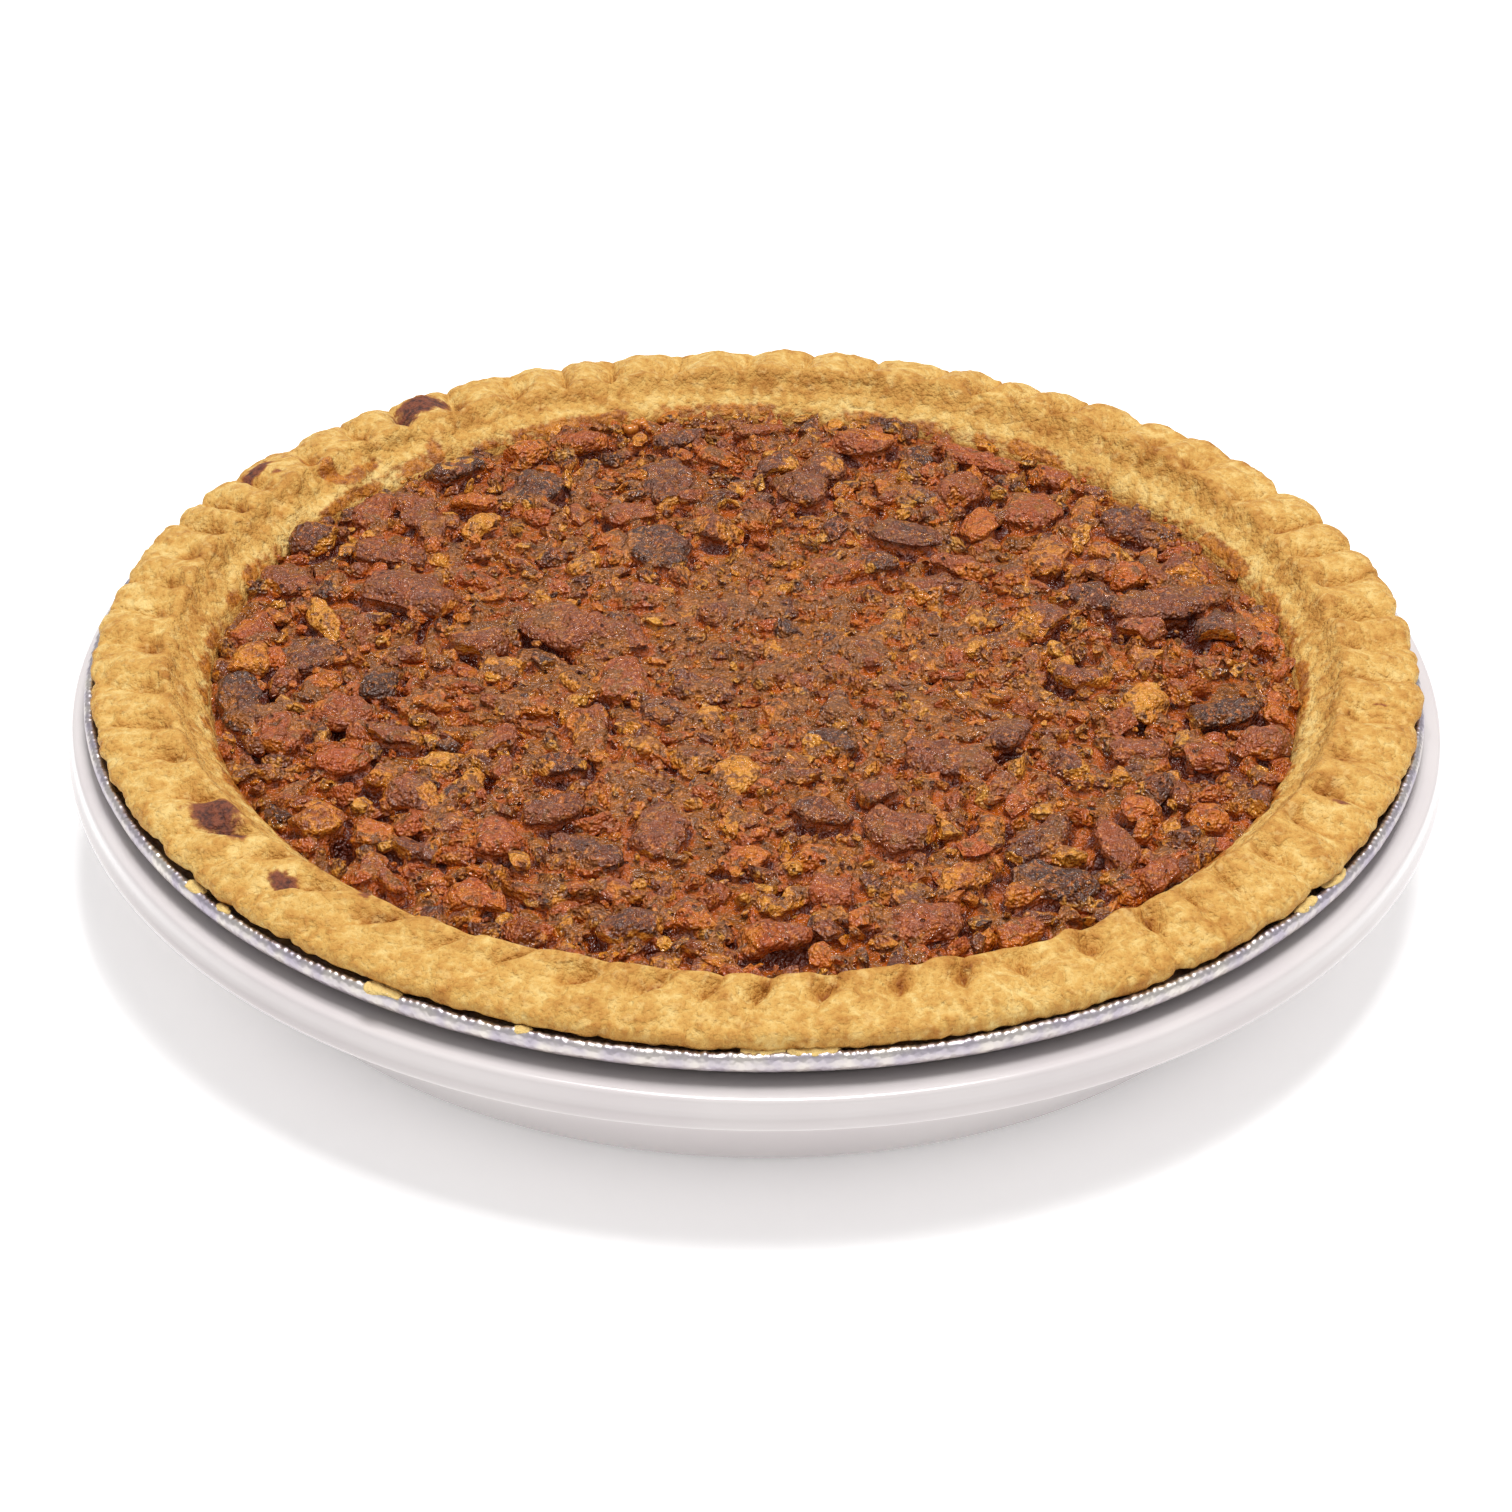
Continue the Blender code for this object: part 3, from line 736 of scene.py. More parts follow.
def make_crust(material):
    """The whole shell in one closed skin: hidden floor and wall, the rim, and the inner wall."""
    rim, bake = rim_surface()
    columns = CRIMPS * COLUMNS_PER_CRIMP
    turn = np.arctan2(rim[:columns, 1], rim[:columns, 0])
    inner = np.arctan2(rim[-columns:, 1], rim[-columns:, 0])

    def plain(radius, height, bearing):
        return np.column_stack([radius * np.cos(bearing), radius * np.sin(bearing), np.full(columns, height)])

    outside = [plain(radius, height, turn) for radius, height in HIDDEN_OUTSIDE]
    inside = [plain(radius, height, inner) for radius, height in HIDDEN_INSIDE]
    under, over = (0.0, 0.0, HIDDEN_OUTSIDE[0][1]), (0.0, 0.0, HIDDEN_INSIDE[-1][1])
    points = np.vstack([[under], *outside, rim[columns:], *inside, [over]])
    faces = closed_rings(len(outside) + RIM_ROWS - 1 + len(inside), columns)
    shell = piece_from("crimped_crust", laid_in_dish(points * MM), faces, material)
    hidden_before, hidden_after = 1 + len(outside) * columns, len(inside) * columns + 1
    paint(shell, "bake", np.r_[np.full(hidden_before, 0.4), bake[columns:], np.full(hidden_after, 0.4)])
    height = points[:, 2]
    paint(shell, "burn", ovals(points, BURNS) * (height > MARKS_FROM))
    # custard seeped up the foot of the inner wall all round; the amber band there is partly that seep and
    # partly painted shade where crust meets filling
    inner_wall = np.hypot(points[:, 0], points[:, 1]) < 106.0
    seep_and_edge_shade = inner_wall * smoothstep(36.3, 34.5, height) * (0.6 + 0.6 * noise(points, 5.0, 21))
    paint(shell, "leak", np.maximum(ovals(points, LEAKS), seep_and_edge_shade) * (height > MARKS_FROM))
    return shell


crust = make_crust(pastry)
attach(crust, "root")
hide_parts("crust")
print("crust:", CRIMPS, "crimps,", triangles(crust), "triangles")

# %% [markdown]
# ## The filling, from the largest nuts to the crumbs
#
# The filling is a heap: pecan halves, broken pieces and crumbs, set in caramel custard which rises
# round each of them. It is made in the order of size. The largest pieces stand where the
# construction model has them. Then come the middling pieces that catch the eye, each with its own
# place and colour. Geometry Nodes scatter the chips and crumbs wherever there is room, and last the
# custard is poured: its surface is worked out from the nuts that stand in it.


# %% The level of the filling
def filling_height(x, y):
    """Height of the baked surface: a low swell round the edge, a sunken middle, and small lumps."""
    share = np.minimum(np.hypot(x, y) / FILLING_RADIUS, 1.0)
    swell = 1.3 * np.sin(pi * np.minimum(1.0, 2.6 * (1.0 - share)) / 2.0)
    swell = swell - 1.5 * np.exp(-((share / 0.55) ** 2))
    lumps = 0.45 * np.sin(x / (6.1 * MM) + 0.8) * np.sin(y / (5.3 * MM) + 2.0)
    lumps = lumps + 0.3 * np.sin((x + y) / (9.0 * MM))
    return FILLING_EDGE_Z + (swell + lumps * (1.0 - share**8)) * MM


# %% [markdown]
# Half a pecan is a long lens with furrows along its back. A chopped piece is the same body with one
# or more planes cut off it. Where a plane cuts, the brown skin ends and the pale flesh shows, so
# the function that cuts also remembers how much flesh each point shows.


# %% One nut, whole or broken
def nut_body(length, width, height, seed, cuts, rows, columns):
    """Points, faces and flesh of one nut lying along X. A cut is (direction, share of the way out)."""
    along = -np.cos(pi * np.arange(1, rows + 1) / (rows + 1))
    u, v = np.meshgrid(along, tau * np.arange(columns) / columns, indexing="ij")
    side, up = np.cos(v), np.sin(v)
    full = np.sqrt(1.0 - np.abs(u) ** 2.3) * (1.0 - 0.14 * u)
    furrow = np.exp(-(((side - 0.4) / 0.13) ** 2)) + np.exp(-(((side + 0.36) / 0.12) ** 2))
    furrow = furrow * smoothstep(0.0, 0.5, up) * (1.0 - u**4)
    dome = np.sign(up) * np.abs(up) ** 1.35 * (1.0 - 0.2 * furrow)
    body = np.stack([0.5 * length * u, 0.5 * width * full * side, 0.5 * height * full**0.8 * dome], axis=-1)
    body = body.reshape(-1, 3)
    away = np.stack([0.3 * u, side, up], axis=-1).reshape(-1, 3)
    swell = 0.12 * noise(body, 0.5 * width, seed) + 0.08 * noise(body, 0.22 * width, seed + 1)
    body = body + away * (width * swell)[:, None]
    body = np.vstack([[(-0.5 * length, 0.0, 0.0)], body, [(0.5 * length, 0.0, 0.0)]])
    flesh = np.zeros(len(body))
    half = 0.5 * np.array([length, width, height])
    for direction, share in cuts:
        normal = np.array(direction, float) / np.linalg.norm(direction)
        reach = share * np.linalg.norm(half * normal)
        beyond = body @ normal - reach - 0.07 * width * noise(body, 0.25 * width, seed + 7)
        over = np.clip(beyond, 0.0, None)
        body = body - normal * (over * 0.92)[:, None]
        flesh = np.maximum(flesh, smoothstep(-0.02 * width, 0.05 * width, beyond))
    if rows > 10:
        grit = noise(body, 1.5 * MM, seed + 3) + 0.6 * noise(body, 0.8 * MM, seed + 4)
        body = body + (body - body.mean(0)) / (0.5 * width) * (0.24 * MM * grit)[:, None]
    return body, closed_rings(rows, columns), flesh


def random_cuts(dice, count, least, most):
    """Some cuts in random directions, mostly sideways and up, where they show."""
    return [((dice.uniform(-1, 1), dice.uniform(-1, 1), dice.uniform(-0.4, 0.9)), dice.uniform(least, most))
            for _ in range(count)]


# %% Gather nuts in one mesh
def placed(body, place):
    """Points moved by a placing matrix."""
    matrix = np.array(place)
    return body @ matrix[:3, :3].T + matrix[:3, 3]


class Heap:
    """Nuts gathered into one mesh, with the flesh and the tone of each point."""

    def __init__(self):
        self.points, self.faces, self.flesh, self.tone = [], [], [], []
        self.count = 0

    def add(self, body, faces, flesh, tone, place):
        """Adds one nut, moved by its placing matrix."""
        self.points.append(placed(body, place))
        self.faces += [tuple(corner + self.count for corner in face) for face in faces]
        self.flesh.append(flesh)
        self.tone.append(np.full(len(body), tone))
        self.count += len(body)

    def piece(self, name, material):
        """The heap as one object."""
        made = piece_from(name, np.vstack(self.points), self.faces, material)
        paint(made, "flesh", np.concatenate(self.flesh))
        paint(made, "tone", np.concatenate(self.tone))
        return made


# tone from 0 (amber red) over mauve to 1 (dark grey purple), and how much flesh shows at least
LOOKS = {
    "red": (0.25, 0.0),
    "mauve": (0.5, 0.0),
    "purple": (0.74, 0.0),
    "grey": (0.95, 0.0),
    "orange": (0.15, 0.6),
    "amber": (0.0, 0.2),
    "yellow": (0.75, 0.8),
    "tan": (0.45, 0.55),
}


def level_frame(x, y, lift, heading, pitch, roll):
    """A placing matrix on the level filling: x, y and lift in metres, angles in degrees."""
    place = Matrix.Translation((x, y, float(filling_height(x, y)) + lift))
    place = place @ Matrix.Rotation(radians(heading), 4, "Z")
    return place @ Matrix.Rotation(radians(pitch), 4, "Y") @ Matrix.Rotation(radians(roll), 4, "X")


# %% Large pieces, each in the place of a construction solid
LARGE_LOOKS = """purple red red tan red purple red purple purple purple grey mauve mauve mauve
    mauve grey mauve purple grey red mauve purple purple mauve mauve grey grey red""".split()


def solid_axes(node):
    """Middle, directions (long, wide, high) and full sizes of a construction solid, in the level pie."""
    points = np.array([vertex.co for vertex in frame["nodes"][node].data.vertices], float)
    x, y, z = (points - (PIE_SHIFT, 0.0, 0.0)).T
    lean_cos, lean_sin = cos(PIE_LEAN), sin(PIE_LEAN)
    level = np.column_stack([x, y * lean_cos + z * lean_sin, z * lean_cos - y * lean_sin])
    directions = np.linalg.svd(level - level.mean(0), full_matrices=False)[2]
    long_way = directions[0] * np.sign(directions[0][0] + 1e-9)
    high_way = directions[2] * np.sign(directions[2][2])
    wide_way = np.cross(high_way, long_way)
    axes = np.array([long_way, wide_way, high_way])
    spread = (level - level.mean(0)) @ axes.T
    middle = level.mean(0) + 0.5 * (spread.max(0) + spread.min(0)) @ axes
    return middle, axes, np.ptp(spread, axis=0)


def make_large_nuts(material):
    """Twenty-eight detailed pieces, one for each construction solid."""
    dice = random.Random(5)
    made = []
    for number, look in enumerate(LARGE_LOOKS, start=1):
        node = f"pecan_{number:02d}"
        middle, axes, size = solid_axes(node)
        place = Matrix.Identity(4)
        for axis in range(3):
            for row in range(3):
                place[row][axis] = axes[axis][row]
            place[axis][3] = middle[axis]
        end = dice.choice((-1, 1))
        cuts = [((end, dice.uniform(-0.4, 0.4), dice.uniform(-0.2, 0.5)), dice.uniform(0.8, 0.98))]
        if number % 3:
            cuts.append(((-end, dice.uniform(-0.5, 0.5), 0.3), dice.uniform(0.82, 0.98)))
        length, width, height = size * (1.04, 1.08, 1.12)
        body, faces, flesh = nut_body(length, width, height, 100 + 13 * number, cuts, 38, 46)
        heap = Heap()
        tone, least = LOOKS[look]
        heap.add(body, faces, np.maximum(0.7 * flesh, least), tone + dice.uniform(-0.08, 0.08), place)
        piece = heap.piece(f"nut_{number:02d}", material)
        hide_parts(node)
        made.append(piece)
    return made


# %% Middling pieces, placed one by one
# x, y, length, width in mm, heading in degrees, look
MIDDLING = [
    (88, 13.5, 13, 10, 80, "purple"), (97, 13, 20, 6, -65, "orange"), (74, 13, 10, 8, 0, "red"),
    (73, 33, 10, 8, 20, "orange"), (66, 25, 11, 9, -20, "purple"), (66, 60, 16, 6, 80, "tan"),
    (14, 77, 13, 8, 80, "purple"), (4, 77, 13, 8, 85, "purple"), (15, 36, 14, 8, 10, "red"),
    (40, 36, 13, 9, -40, "red"), (24, 38, 12, 8, 15, "grey"), (-8, 80, 14, 5, -45, "orange"),
    (-17, 87, 12, 8, 20, "purple"), (-38, 86, 13, 8, 0, "red"), (-48, 82, 10, 7, 40, "orange"),
    (-57, 60, 10, 7, -20, "orange"), (-55, 50, 9, 6, 60, "yellow"), (-87, 44, 12, 9, 20, "purple"),
    (-77, 56, 14, 8, 60, "red"), (-83, 13, 15, 5, -65, "yellow"), (-95, 8, 12, 8, 80, "red"),
    (-22, 24, 10, 8, 0, "red"), (-25, 55, 10, 9, 30, "red"), (-29, 47, 9, 5, 30, "orange"),
    (-34, 35, 9, 6, 70, "yellow"), (-95, -4, 12, 9, 90, "tan"), (-81, -12, 9, 6, 20, "orange"),
    (-76, -22, 11, 9, 0, "red"), (-66, -29, 15, 6, -20, "mauve"), (-69, -12, 11, 8, 50, "grey"),
    (-61, -15, 8, 6, 20, "orange"), (-47, -29, 11, 7, 50, "red"), (-24.5, -7, 15, 10, 90, "red"),
    (-10, -8.5, 14, 8, -10, "purple"), (-33, -9, 11, 5, -60, "yellow"), (-47, -4, 9, 6, 0, "yellow"),
    (-40, -17, 8, 6, 40, "orange"), (-16, -18, 9, 7, 10, "purple"), (-8, -19, 8, 6, 70, "yellow"),
    (-20, -30, 8, 6, 20, "yellow"), (-11, -34, 12, 7, -15, "purple"), (-3, -40, 11, 9, 80, "yellow"),
    (-3, -55, 9, 4, 70, "yellow"), (-58, -66, 10, 7, 0, "purple"), (-63, -73, 12, 4, -60, "red"),
    (-77, -57, 11, 8, 10, "tan"), (-67, -61, 10, 7, -30, "orange"), (-50, -44, 8, 5, 90, "yellow"),
    (-56, -37, 9, 6, 30, "yellow"), (-74, -38, 10, 7, 0, "amber"), (-66, -42, 9, 7, 60, "tan"),
    (-47, -81, 11, 8, -30, "orange"), (-9, -86, 8, 7, 0, "orange"), (-20, -90, 12, 8, 10, "purple"),
    (4, -91, 13, 11, 20, "red"), (7, -79, 8, 5, 60, "yellow"), (16, -14, 12, 5, 80, "purple"),
    (14, -28, 10, 8, -30, "grey"), (5, -15, 8, 7, 30, "tan"), (4, -3, 8, 5, 0, "yellow"),
    (47, -23, 15, 8, 65, "purple"), (57, -35, 12, 6, -50, "purple"), (42, -56, 12, 5, 75, "tan"),
    (64, -61, 15, 8, -75, "mauve"), (55, -64, 7, 6, 0, "yellow"), (73, -14, 13, 8, 90, "yellow"),
    (97, -14, 12, 6, 90, "orange"), (93, -28, 12, 10, 40, "red"), (83, -33, 11, 8, -20, "red"),
    (14, -76, 9, 8, 0, "red"), (37, -73, 12, 6, 30, "tan"), (46, -76, 8, 5, 10, "tan"),
    (80, -51, 9, 7, 0, "orange"), (69, -50, 9, 7, 50, "orange"), (11, -67, 9, 6, 30, "orange"),
    (-1, -67, 10, 6, 10, "orange"), (44, 54, 13, 8, 80, "orange"), (58, 0, 8, 5, 60, "yellow"),
    (70, 42, 9, 6, -30, "tan"), (42, 18, 10, 5, 85, "yellow"), (42, 8, 8, 5, 60, "yellow"),
    (27, 17, 11, 5, 80, "yellow"), (62, -5, 12, 8, 20, "mauve"), (20, 5, 13, 9, -30, "mauve"),
    (55, 15, 12, 9, 60, "mauve"), (33, 28, 12, 9, 10, "mauve"), (-5, 20, 14, 9, 40, "mauve"),
    (-8, 50, 14, 10, -10, "mauve"), (22, 88, 13, 9, 0, "red"), (60, 74, 14, 8, -35, "red"),
    (84, 36, 13, 8, -60, "mauve"), (0, 93, 12, 7, 5, "red"), (-62, 73, 12, 8, 40, "grey"),
    (-52, 5, 12, 9, 30, "mauve"), (-60, -50, 13, 9, -30, "mauve"), (-36, -52, 14, 9, 20, "mauve"),
    (-45, -62, 12, 8, -50, "red"), (70, -30, 12, 8, 0, "mauve"), (22, -44, 12, 8, 40, "mauve"),
    (12, -52, 12, 8, -20, "purple"), (70, -70, 12, 8, 50, "red"), (-30, -22, 12, 8, 70, "mauve"),
    (-34, -38, 11, 8, 0, "purple"), (90, -45, 10, 7, 60, "purple"), (45, -88, 10, 7, 20, "red"),
]


print(len(MIDDLING), "middling pieces")


# %% Make the middling pieces
def make_middling_nuts(material):
    """The middling pieces as one mesh, each half sunk and turned a little at random."""
    dice = random.Random(23)
    heap = Heap()
    for number, (x, y, length, width, heading, look) in enumerate(MIDDLING):
        tone, least = LOOKS[look]
        far = min(1.0, float(np.hypot(x, y)) / 95.0)
        high = (0.46 + 0.12 * far) * width * MM
        cuts = random_cuts(dice, dice.choice((2, 3, 4)), 0.5, 0.92)
        body, faces, flesh = nut_body(length * MM, width * MM, high, 500 + 17 * number, cuts, 20, 26)
        lift = (0.06 + 0.16 * far) * high
        pitch, roll = dice.uniform(-9, 9), dice.uniform(-22, 22)
        place = level_frame(x * MM, y * MM, lift, heading, pitch, roll)
        heap.add(body, faces, np.maximum(0.7 * flesh, least), tone + dice.uniform(-0.1, 0.1), place)
    return heap.piece("middling_nuts", material)


# %% [markdown]
# ## Chips and crumbs by Geometry Nodes
#
# A tree scatters points over the filling with a smallest distance between them, puts one of several
# chips on each, turns and sizes it at random, sinks it a little, and gives it a tone. A painted
# number called `room` keeps chips off the larger nuts and out of the crevices. The instances are
# realized, so the result is plain mesh.

# %% Where the crevices lie
# x, y, length, width in mm, heading in degrees, depth as a share: gaps where the custard sank or split
CREVICES = [
    (32, 55, 24, 3.2, -27, 0.9),
    (54, 47, 9, 6, -20, 1.0),
    (65, 34, 3, 8, 0, 0.9),
    (77, 15, 16, 4, 24, 0.9),
    (-43, 9, 7, 5, 0, 1.0),
    (-37, 5, 11, 3.2, -48, 1.0),
    (-60, 49, 5, 5, 90, 0.8),
    (-56, 43, 6, 3, 20, 0.8),
    (-52, 17, 4, 10, -30, 0.6),
    (-18, -14, 16, 3, 5, 0.9),
    (-6, -13, 12, 2.6, 10, 0.8),
    (15, -22, 6, 6, 0, 0.9),
    (46, -31, 8, 3, 30, 0.8),
    (-28, -79, 9, 3, 0, 0.9),
    (-51, -21, 7, 3, 10, 0.8),
    (-20, -72, 9, 3, 0, 0.8),
    (-72, -63, 6, 7, 30, 1.0),
    (25, 81, 9, 4, 10, 0.9),
    (8, 72, 4, 8, 60, 0.8),
    (-75, -26, 9, 3, -20, 0.9),
    (-88, -32, 4, 8, 0, 0.8),
    (-90, -10, 3, 8, 10, 0.8),
    (-98, 18, 4, 9, -20, 0.9),
    (60, -64, 10, 2.6, 40, 0.7),
    (82, -21, 8, 3, 20, 0.8),
    (-4, 84, 10, 3, -40, 0.8),
    (73, -20, 8, 3, 0, 0.7),
    (-64, 10, 9, 3, 80, 0.7),
]


print(len(CREVICES), "crevices")


# %% How deep the crevices cut
def crevice_depth(x, y):
    """How deep the crevices cut at each place, as a share of the deepest. x and y in metres."""
    level = np.column_stack([x / MM, y / MM])
    bent = level + 1.3 * np.column_stack([noise(np.c_[level, 0 * x], 4.0, seed) for seed in (31, 32)])
    return np.clip(ovals(bent, CREVICES), 0.0, 1.0)


# %% The bed on which chips are scattered
def disc_grid(count, radius):
    """A square grid of count by count places squeezed into a disc, so that its cells stay even."""
    line = np.linspace(-1.0, 1.0, count)
    a, b = np.meshgrid(line, line, indexing="ij")
    wide = np.abs(a) > np.abs(b)
    safe_a, safe_b = np.where(a == 0, 1e-9, a), np.where(b == 0, 1e-9, b)
    reach = np.where(wide, a, b)
    turn = np.where(wide, 0.25 * pi * b / safe_a, 0.5 * pi - 0.25 * pi * a / safe_b)
    turn = np.where((a == 0) & (b == 0), 0.0, turn)
    x, y = radius * reach * np.cos(turn), radius * reach * np.sin(turn)
    row, column = np.meshgrid(np.arange(count - 1), np.arange(count - 1), indexing="ij")
    first = (row * count + column).ravel()
    quads = np.column_stack([first, first + count, first + count + 1, first + 1])
    return x.ravel(), y.ravel(), quads.tolist()


# %% A map of heights
MAP_CELL = 0.5 * MM
MAP_REACH = 106 * MM
# where a triangle is sampled: the shares of its first two corners
FACE_SAMPLES = [
    (1, 0), (0, 1), (0, 0), (0.5, 0.5), (0.5, 0), (0, 0.5), (0.34, 0.33), (0.6, 0.2), (0.2, 0.6), (0.2, 0.2),
]


class HeightMap:
    """The highest point over each small square of the filling, with the tone and flesh found there."""

    def __init__(self):
        self.cell = MAP_CELL
        self.side = int(2 * MAP_REACH / MAP_CELL)
        size = (self.side, self.side)
        self.top, self.tone, self.flesh = np.full(size, 25.0 * MM), np.full(size, 0.4), np.zeros(size)

    def index(self, x, y):
        """Row and column of the squares under some places."""
        places = (np.stack([x, y]) / self.cell + 0.5 * self.side).astype(int)
        return tuple(np.clip(places, 0, self.side - 1))

    def places(self):
        """x and y of the middle of every square."""
        line = (np.arange(self.side) + 0.5 - 0.5 * self.side) * self.cell
        return np.meshgrid(line, line, indexing="ij")

    def sample(self, field, x, y):
        """A field read between the middles of its squares."""
        place = np.clip(np.stack([x, y]) / self.cell + 0.5 * self.side - 0.5, 0, self.side - 1.001)
        i, j = place.astype(int)
        a, b = place - (i, j)
        near = (1 - b) * field[i, j] + b * field[i, j + 1]
        return (1 - a) * near + a * ((1 - b) * field[i + 1, j] + b * field[i + 1, j + 1])

    def cover(self, piece):
        """Raises the map to a piece, which is sampled at the corners and inside its faces."""
        mesh = piece.data
        mesh.calc_loop_triangles()
        columns = {"co": np.empty(len(mesh.vertices) * 3, np.float32)}
        mesh.vertices.foreach_get("co", columns["co"])
        for name in ("tone", "flesh"):
            columns[name] = np.empty(len(mesh.vertices), np.float32)
            mesh.attributes[name].data.foreach_get("value", columns[name])
        values = np.column_stack([columns["co"].reshape(-1, 3), columns["tone"], columns["flesh"]])
        corners = np.empty(len(mesh.loop_triangles) * 3, np.int32)
        mesh.loop_triangles.foreach_get("vertices", corners)
        a, b, c = values[corners.reshape(-1, 3)].transpose(1, 0, 2)
        for wa, wb in FACE_SAMPLES:
            x, y, z, tone, flesh = (wa * a + wb * b + (1 - wa - wb) * c).T
            spot = self.index(x, y)
            np.maximum.at(self.top, spot, z)
            highest = z >= self.top[spot] - 1e-6
            spot = (spot[0][highest], spot[1][highest])
            self.tone[spot], self.flesh[spot] = tone[highest], flesh[highest]


def blurred(field, radius):
    """A field softened by a bell curve, radius in cells."""
    reach = int(3 * radius)
    weights = np.exp(-0.5 * (np.arange(-reach, reach + 1) / radius) ** 2)
    weights /= weights.sum()
    for axis in (0, 1):
        field = sum(weight * np.roll(field, step - reach, axis) for step, weight in enumerate(weights))
    return field


# %% The scatter tree
RANDOM_SEED_SOCKET = 8


def group_input(tree, name):
    """A Wire from one named input of a node group."""
    node = next((node for node in tree.nodes if node.type == "GROUP_INPUT"), None)
    node = node or tree.nodes.new("NodeGroupInput")
    return Wire(node.outputs[name])


def scatter_tree():
    """Chips over a bed: spaced, turned, sized, sunk, toned, realized and given their material."""
    tree = bpy.data.node_groups.new("scatter_on_filling", "GeometryNodeTree")
    sockets = (("Bed", "Geometry"), ("Chips", "Collection"), ("Spacing", "Float"), ("Density", "Float"),
               ("Smallest", "Float"), ("Largest", "Float"), ("Sink", "Float"), ("Tilt", "Float"),
               ("Seed", "Int"), ("Material", "Material"))
    for name, kind in sockets:
        tree.interface.new_socket(name, in_out="INPUT", socket_type="NodeSocket" + kind)
    tree.interface.new_socket("Heap", in_out="OUTPUT", socket_type="NodeSocketGeometry")
    bed, seed, tilt = (group_input(tree, name) for name in ("Bed", "Seed", "Tilt"))
    room = bed.make("GeometryNodeInputNamedAttribute", {"data_type": "FLOAT"}, {"Name": "room"})
    dots = bed.make("GeometryNodeDistributePointsOnFaces", {"distribute_method": "POISSON"}, {
        "Mesh": bed, "Seed": seed, "Density Factor": room,
        "Distance Min": group_input(tree, "Spacing"), "Density Max": group_input(tree, "Density")})

    def dice(low, high, offset, kind="FLOAT"):
        """A random value for each chip. The node has separate sockets for numbers and for vectors."""
        lowest, result = {"FLOAT": (2, 1), "FLOAT_VECTOR": (0, 0)}[kind]
        values = {lowest: low, lowest + 1: high, RANDOM_SEED_SOCKET: seed + offset}
        return bed.make("FunctionNodeRandomValue", {"data_type": kind}, values, out=result)

    lean_low = bed.make("ShaderNodeCombineXYZ", {}, {0: -1.0 * tilt, 1: -1.0 * tilt, 2: 0.0})
    lean_high = bed.make("ShaderNodeCombineXYZ", {}, {0: tilt, 1: tilt, 2: tau})
    sunk = bed.make("GeometryNodeInputNamedAttribute", {"data_type": "FLOAT"}, {"Name": "sunk"})
    drop = bed.make("ShaderNodeCombineXYZ", {}, {2: dice(-1.0, 0.5, 1) * group_input(tree, "Sink") - sunk})
    dots = bed.make("GeometryNodeSetPosition", {}, {"Geometry": dots, "Offset": drop})
    size = dice(group_input(tree, "Smallest"), group_input(tree, "Largest"), 2)
    chips = bed.make("GeometryNodeCollectionInfo", {}, {
        "Collection": group_input(tree, "Chips"), "Separate Children": True, "Reset Children": True})
    heap = bed.make("GeometryNodeInstanceOnPoints", {}, {
        "Points": dots, "Instance": chips, "Pick Instance": True,
        "Rotation": dice(lean_low, lean_high, 3, "FLOAT_VECTOR"), "Scale": size})
    heap = bed.make("GeometryNodeStoreNamedAttribute", {"data_type": "FLOAT", "domain": "INSTANCE"}, {
        "Geometry": heap, "Name": "tone", "Value": dice(0.0, 1.0, 4)})
    heap = bed.make("GeometryNodeRealizeInstances", {}, {"Geometry": heap})
    heap = bed.make("GeometryNodeSetMaterial", {}, {
        "Geometry": heap, "Material": group_input(tree, "Material")})
    output = tree.nodes.new("NodeGroupOutput")
    tree.links.new(heap.socket, output.inputs["Heap"])
    return tree


# %% Chips to scatter, and running the tree
def chip_models(name, count, seed, flesh_least, flesh_most, flat, rows, columns):
    """A collection of small nut fragments, each about one unit long."""
    dice = random.Random(seed)
    chips = bpy.data.collections.new(name)
    bpy.context.scene.collection.children.link(chips)
    for number in range(count):
        width, high = dice.uniform(0.5, 0.85), dice.uniform(0.7, 1.0) * flat
        cuts = random_cuts(dice, 5, 0.35, 0.8)
        body, faces, flesh = nut_body(1.0, width, high, seed + 31 * number, cuts, rows, columns)
        chip = piece_from(f"{name}_{number}", body, faces, pastry)
        chip.data.set_sharp_from_angle(angle=radians(42))
        paint(chip, "flesh", flesh_least + (flesh_most - flesh_least) * flesh)
        bpy.context.scene.collection.objects.unlink(chip)
        chips.objects.link(chip)
    return chips


def scattered(name, tree, bed, inputs):
    """Runs the tree on a copy of the bed and returns the result as a plain mesh object."""
    ground = bed.copy()
    bpy.context.scene.collection.objects.link(ground)
    modifier = ground.modifiers.new("scatter", "NODES")
    modifier.node_group = tree
    for item in tree.interface.items_tree:
        if item.in_out == "INPUT" and item.name in inputs:
            modifier[item.identifier] = inputs[item.name]
    evaluated = ground.evaluated_get(bpy.context.evaluated_depsgraph_get())
    mesh = bpy.data.meshes.new_from_object(evaluated)
    mesh.name = name
    mesh.shade_smooth()
    bpy.data.objects.remove(ground)
    piece = bpy.data.objects.new(name, mesh)
    bpy.context.scene.collection.objects.link(piece)
    for chip in list(inputs["Chips"].objects):
        bpy.data.objects.remove(chip)
    bpy.data.collections.remove(inputs["Chips"])
    return piece


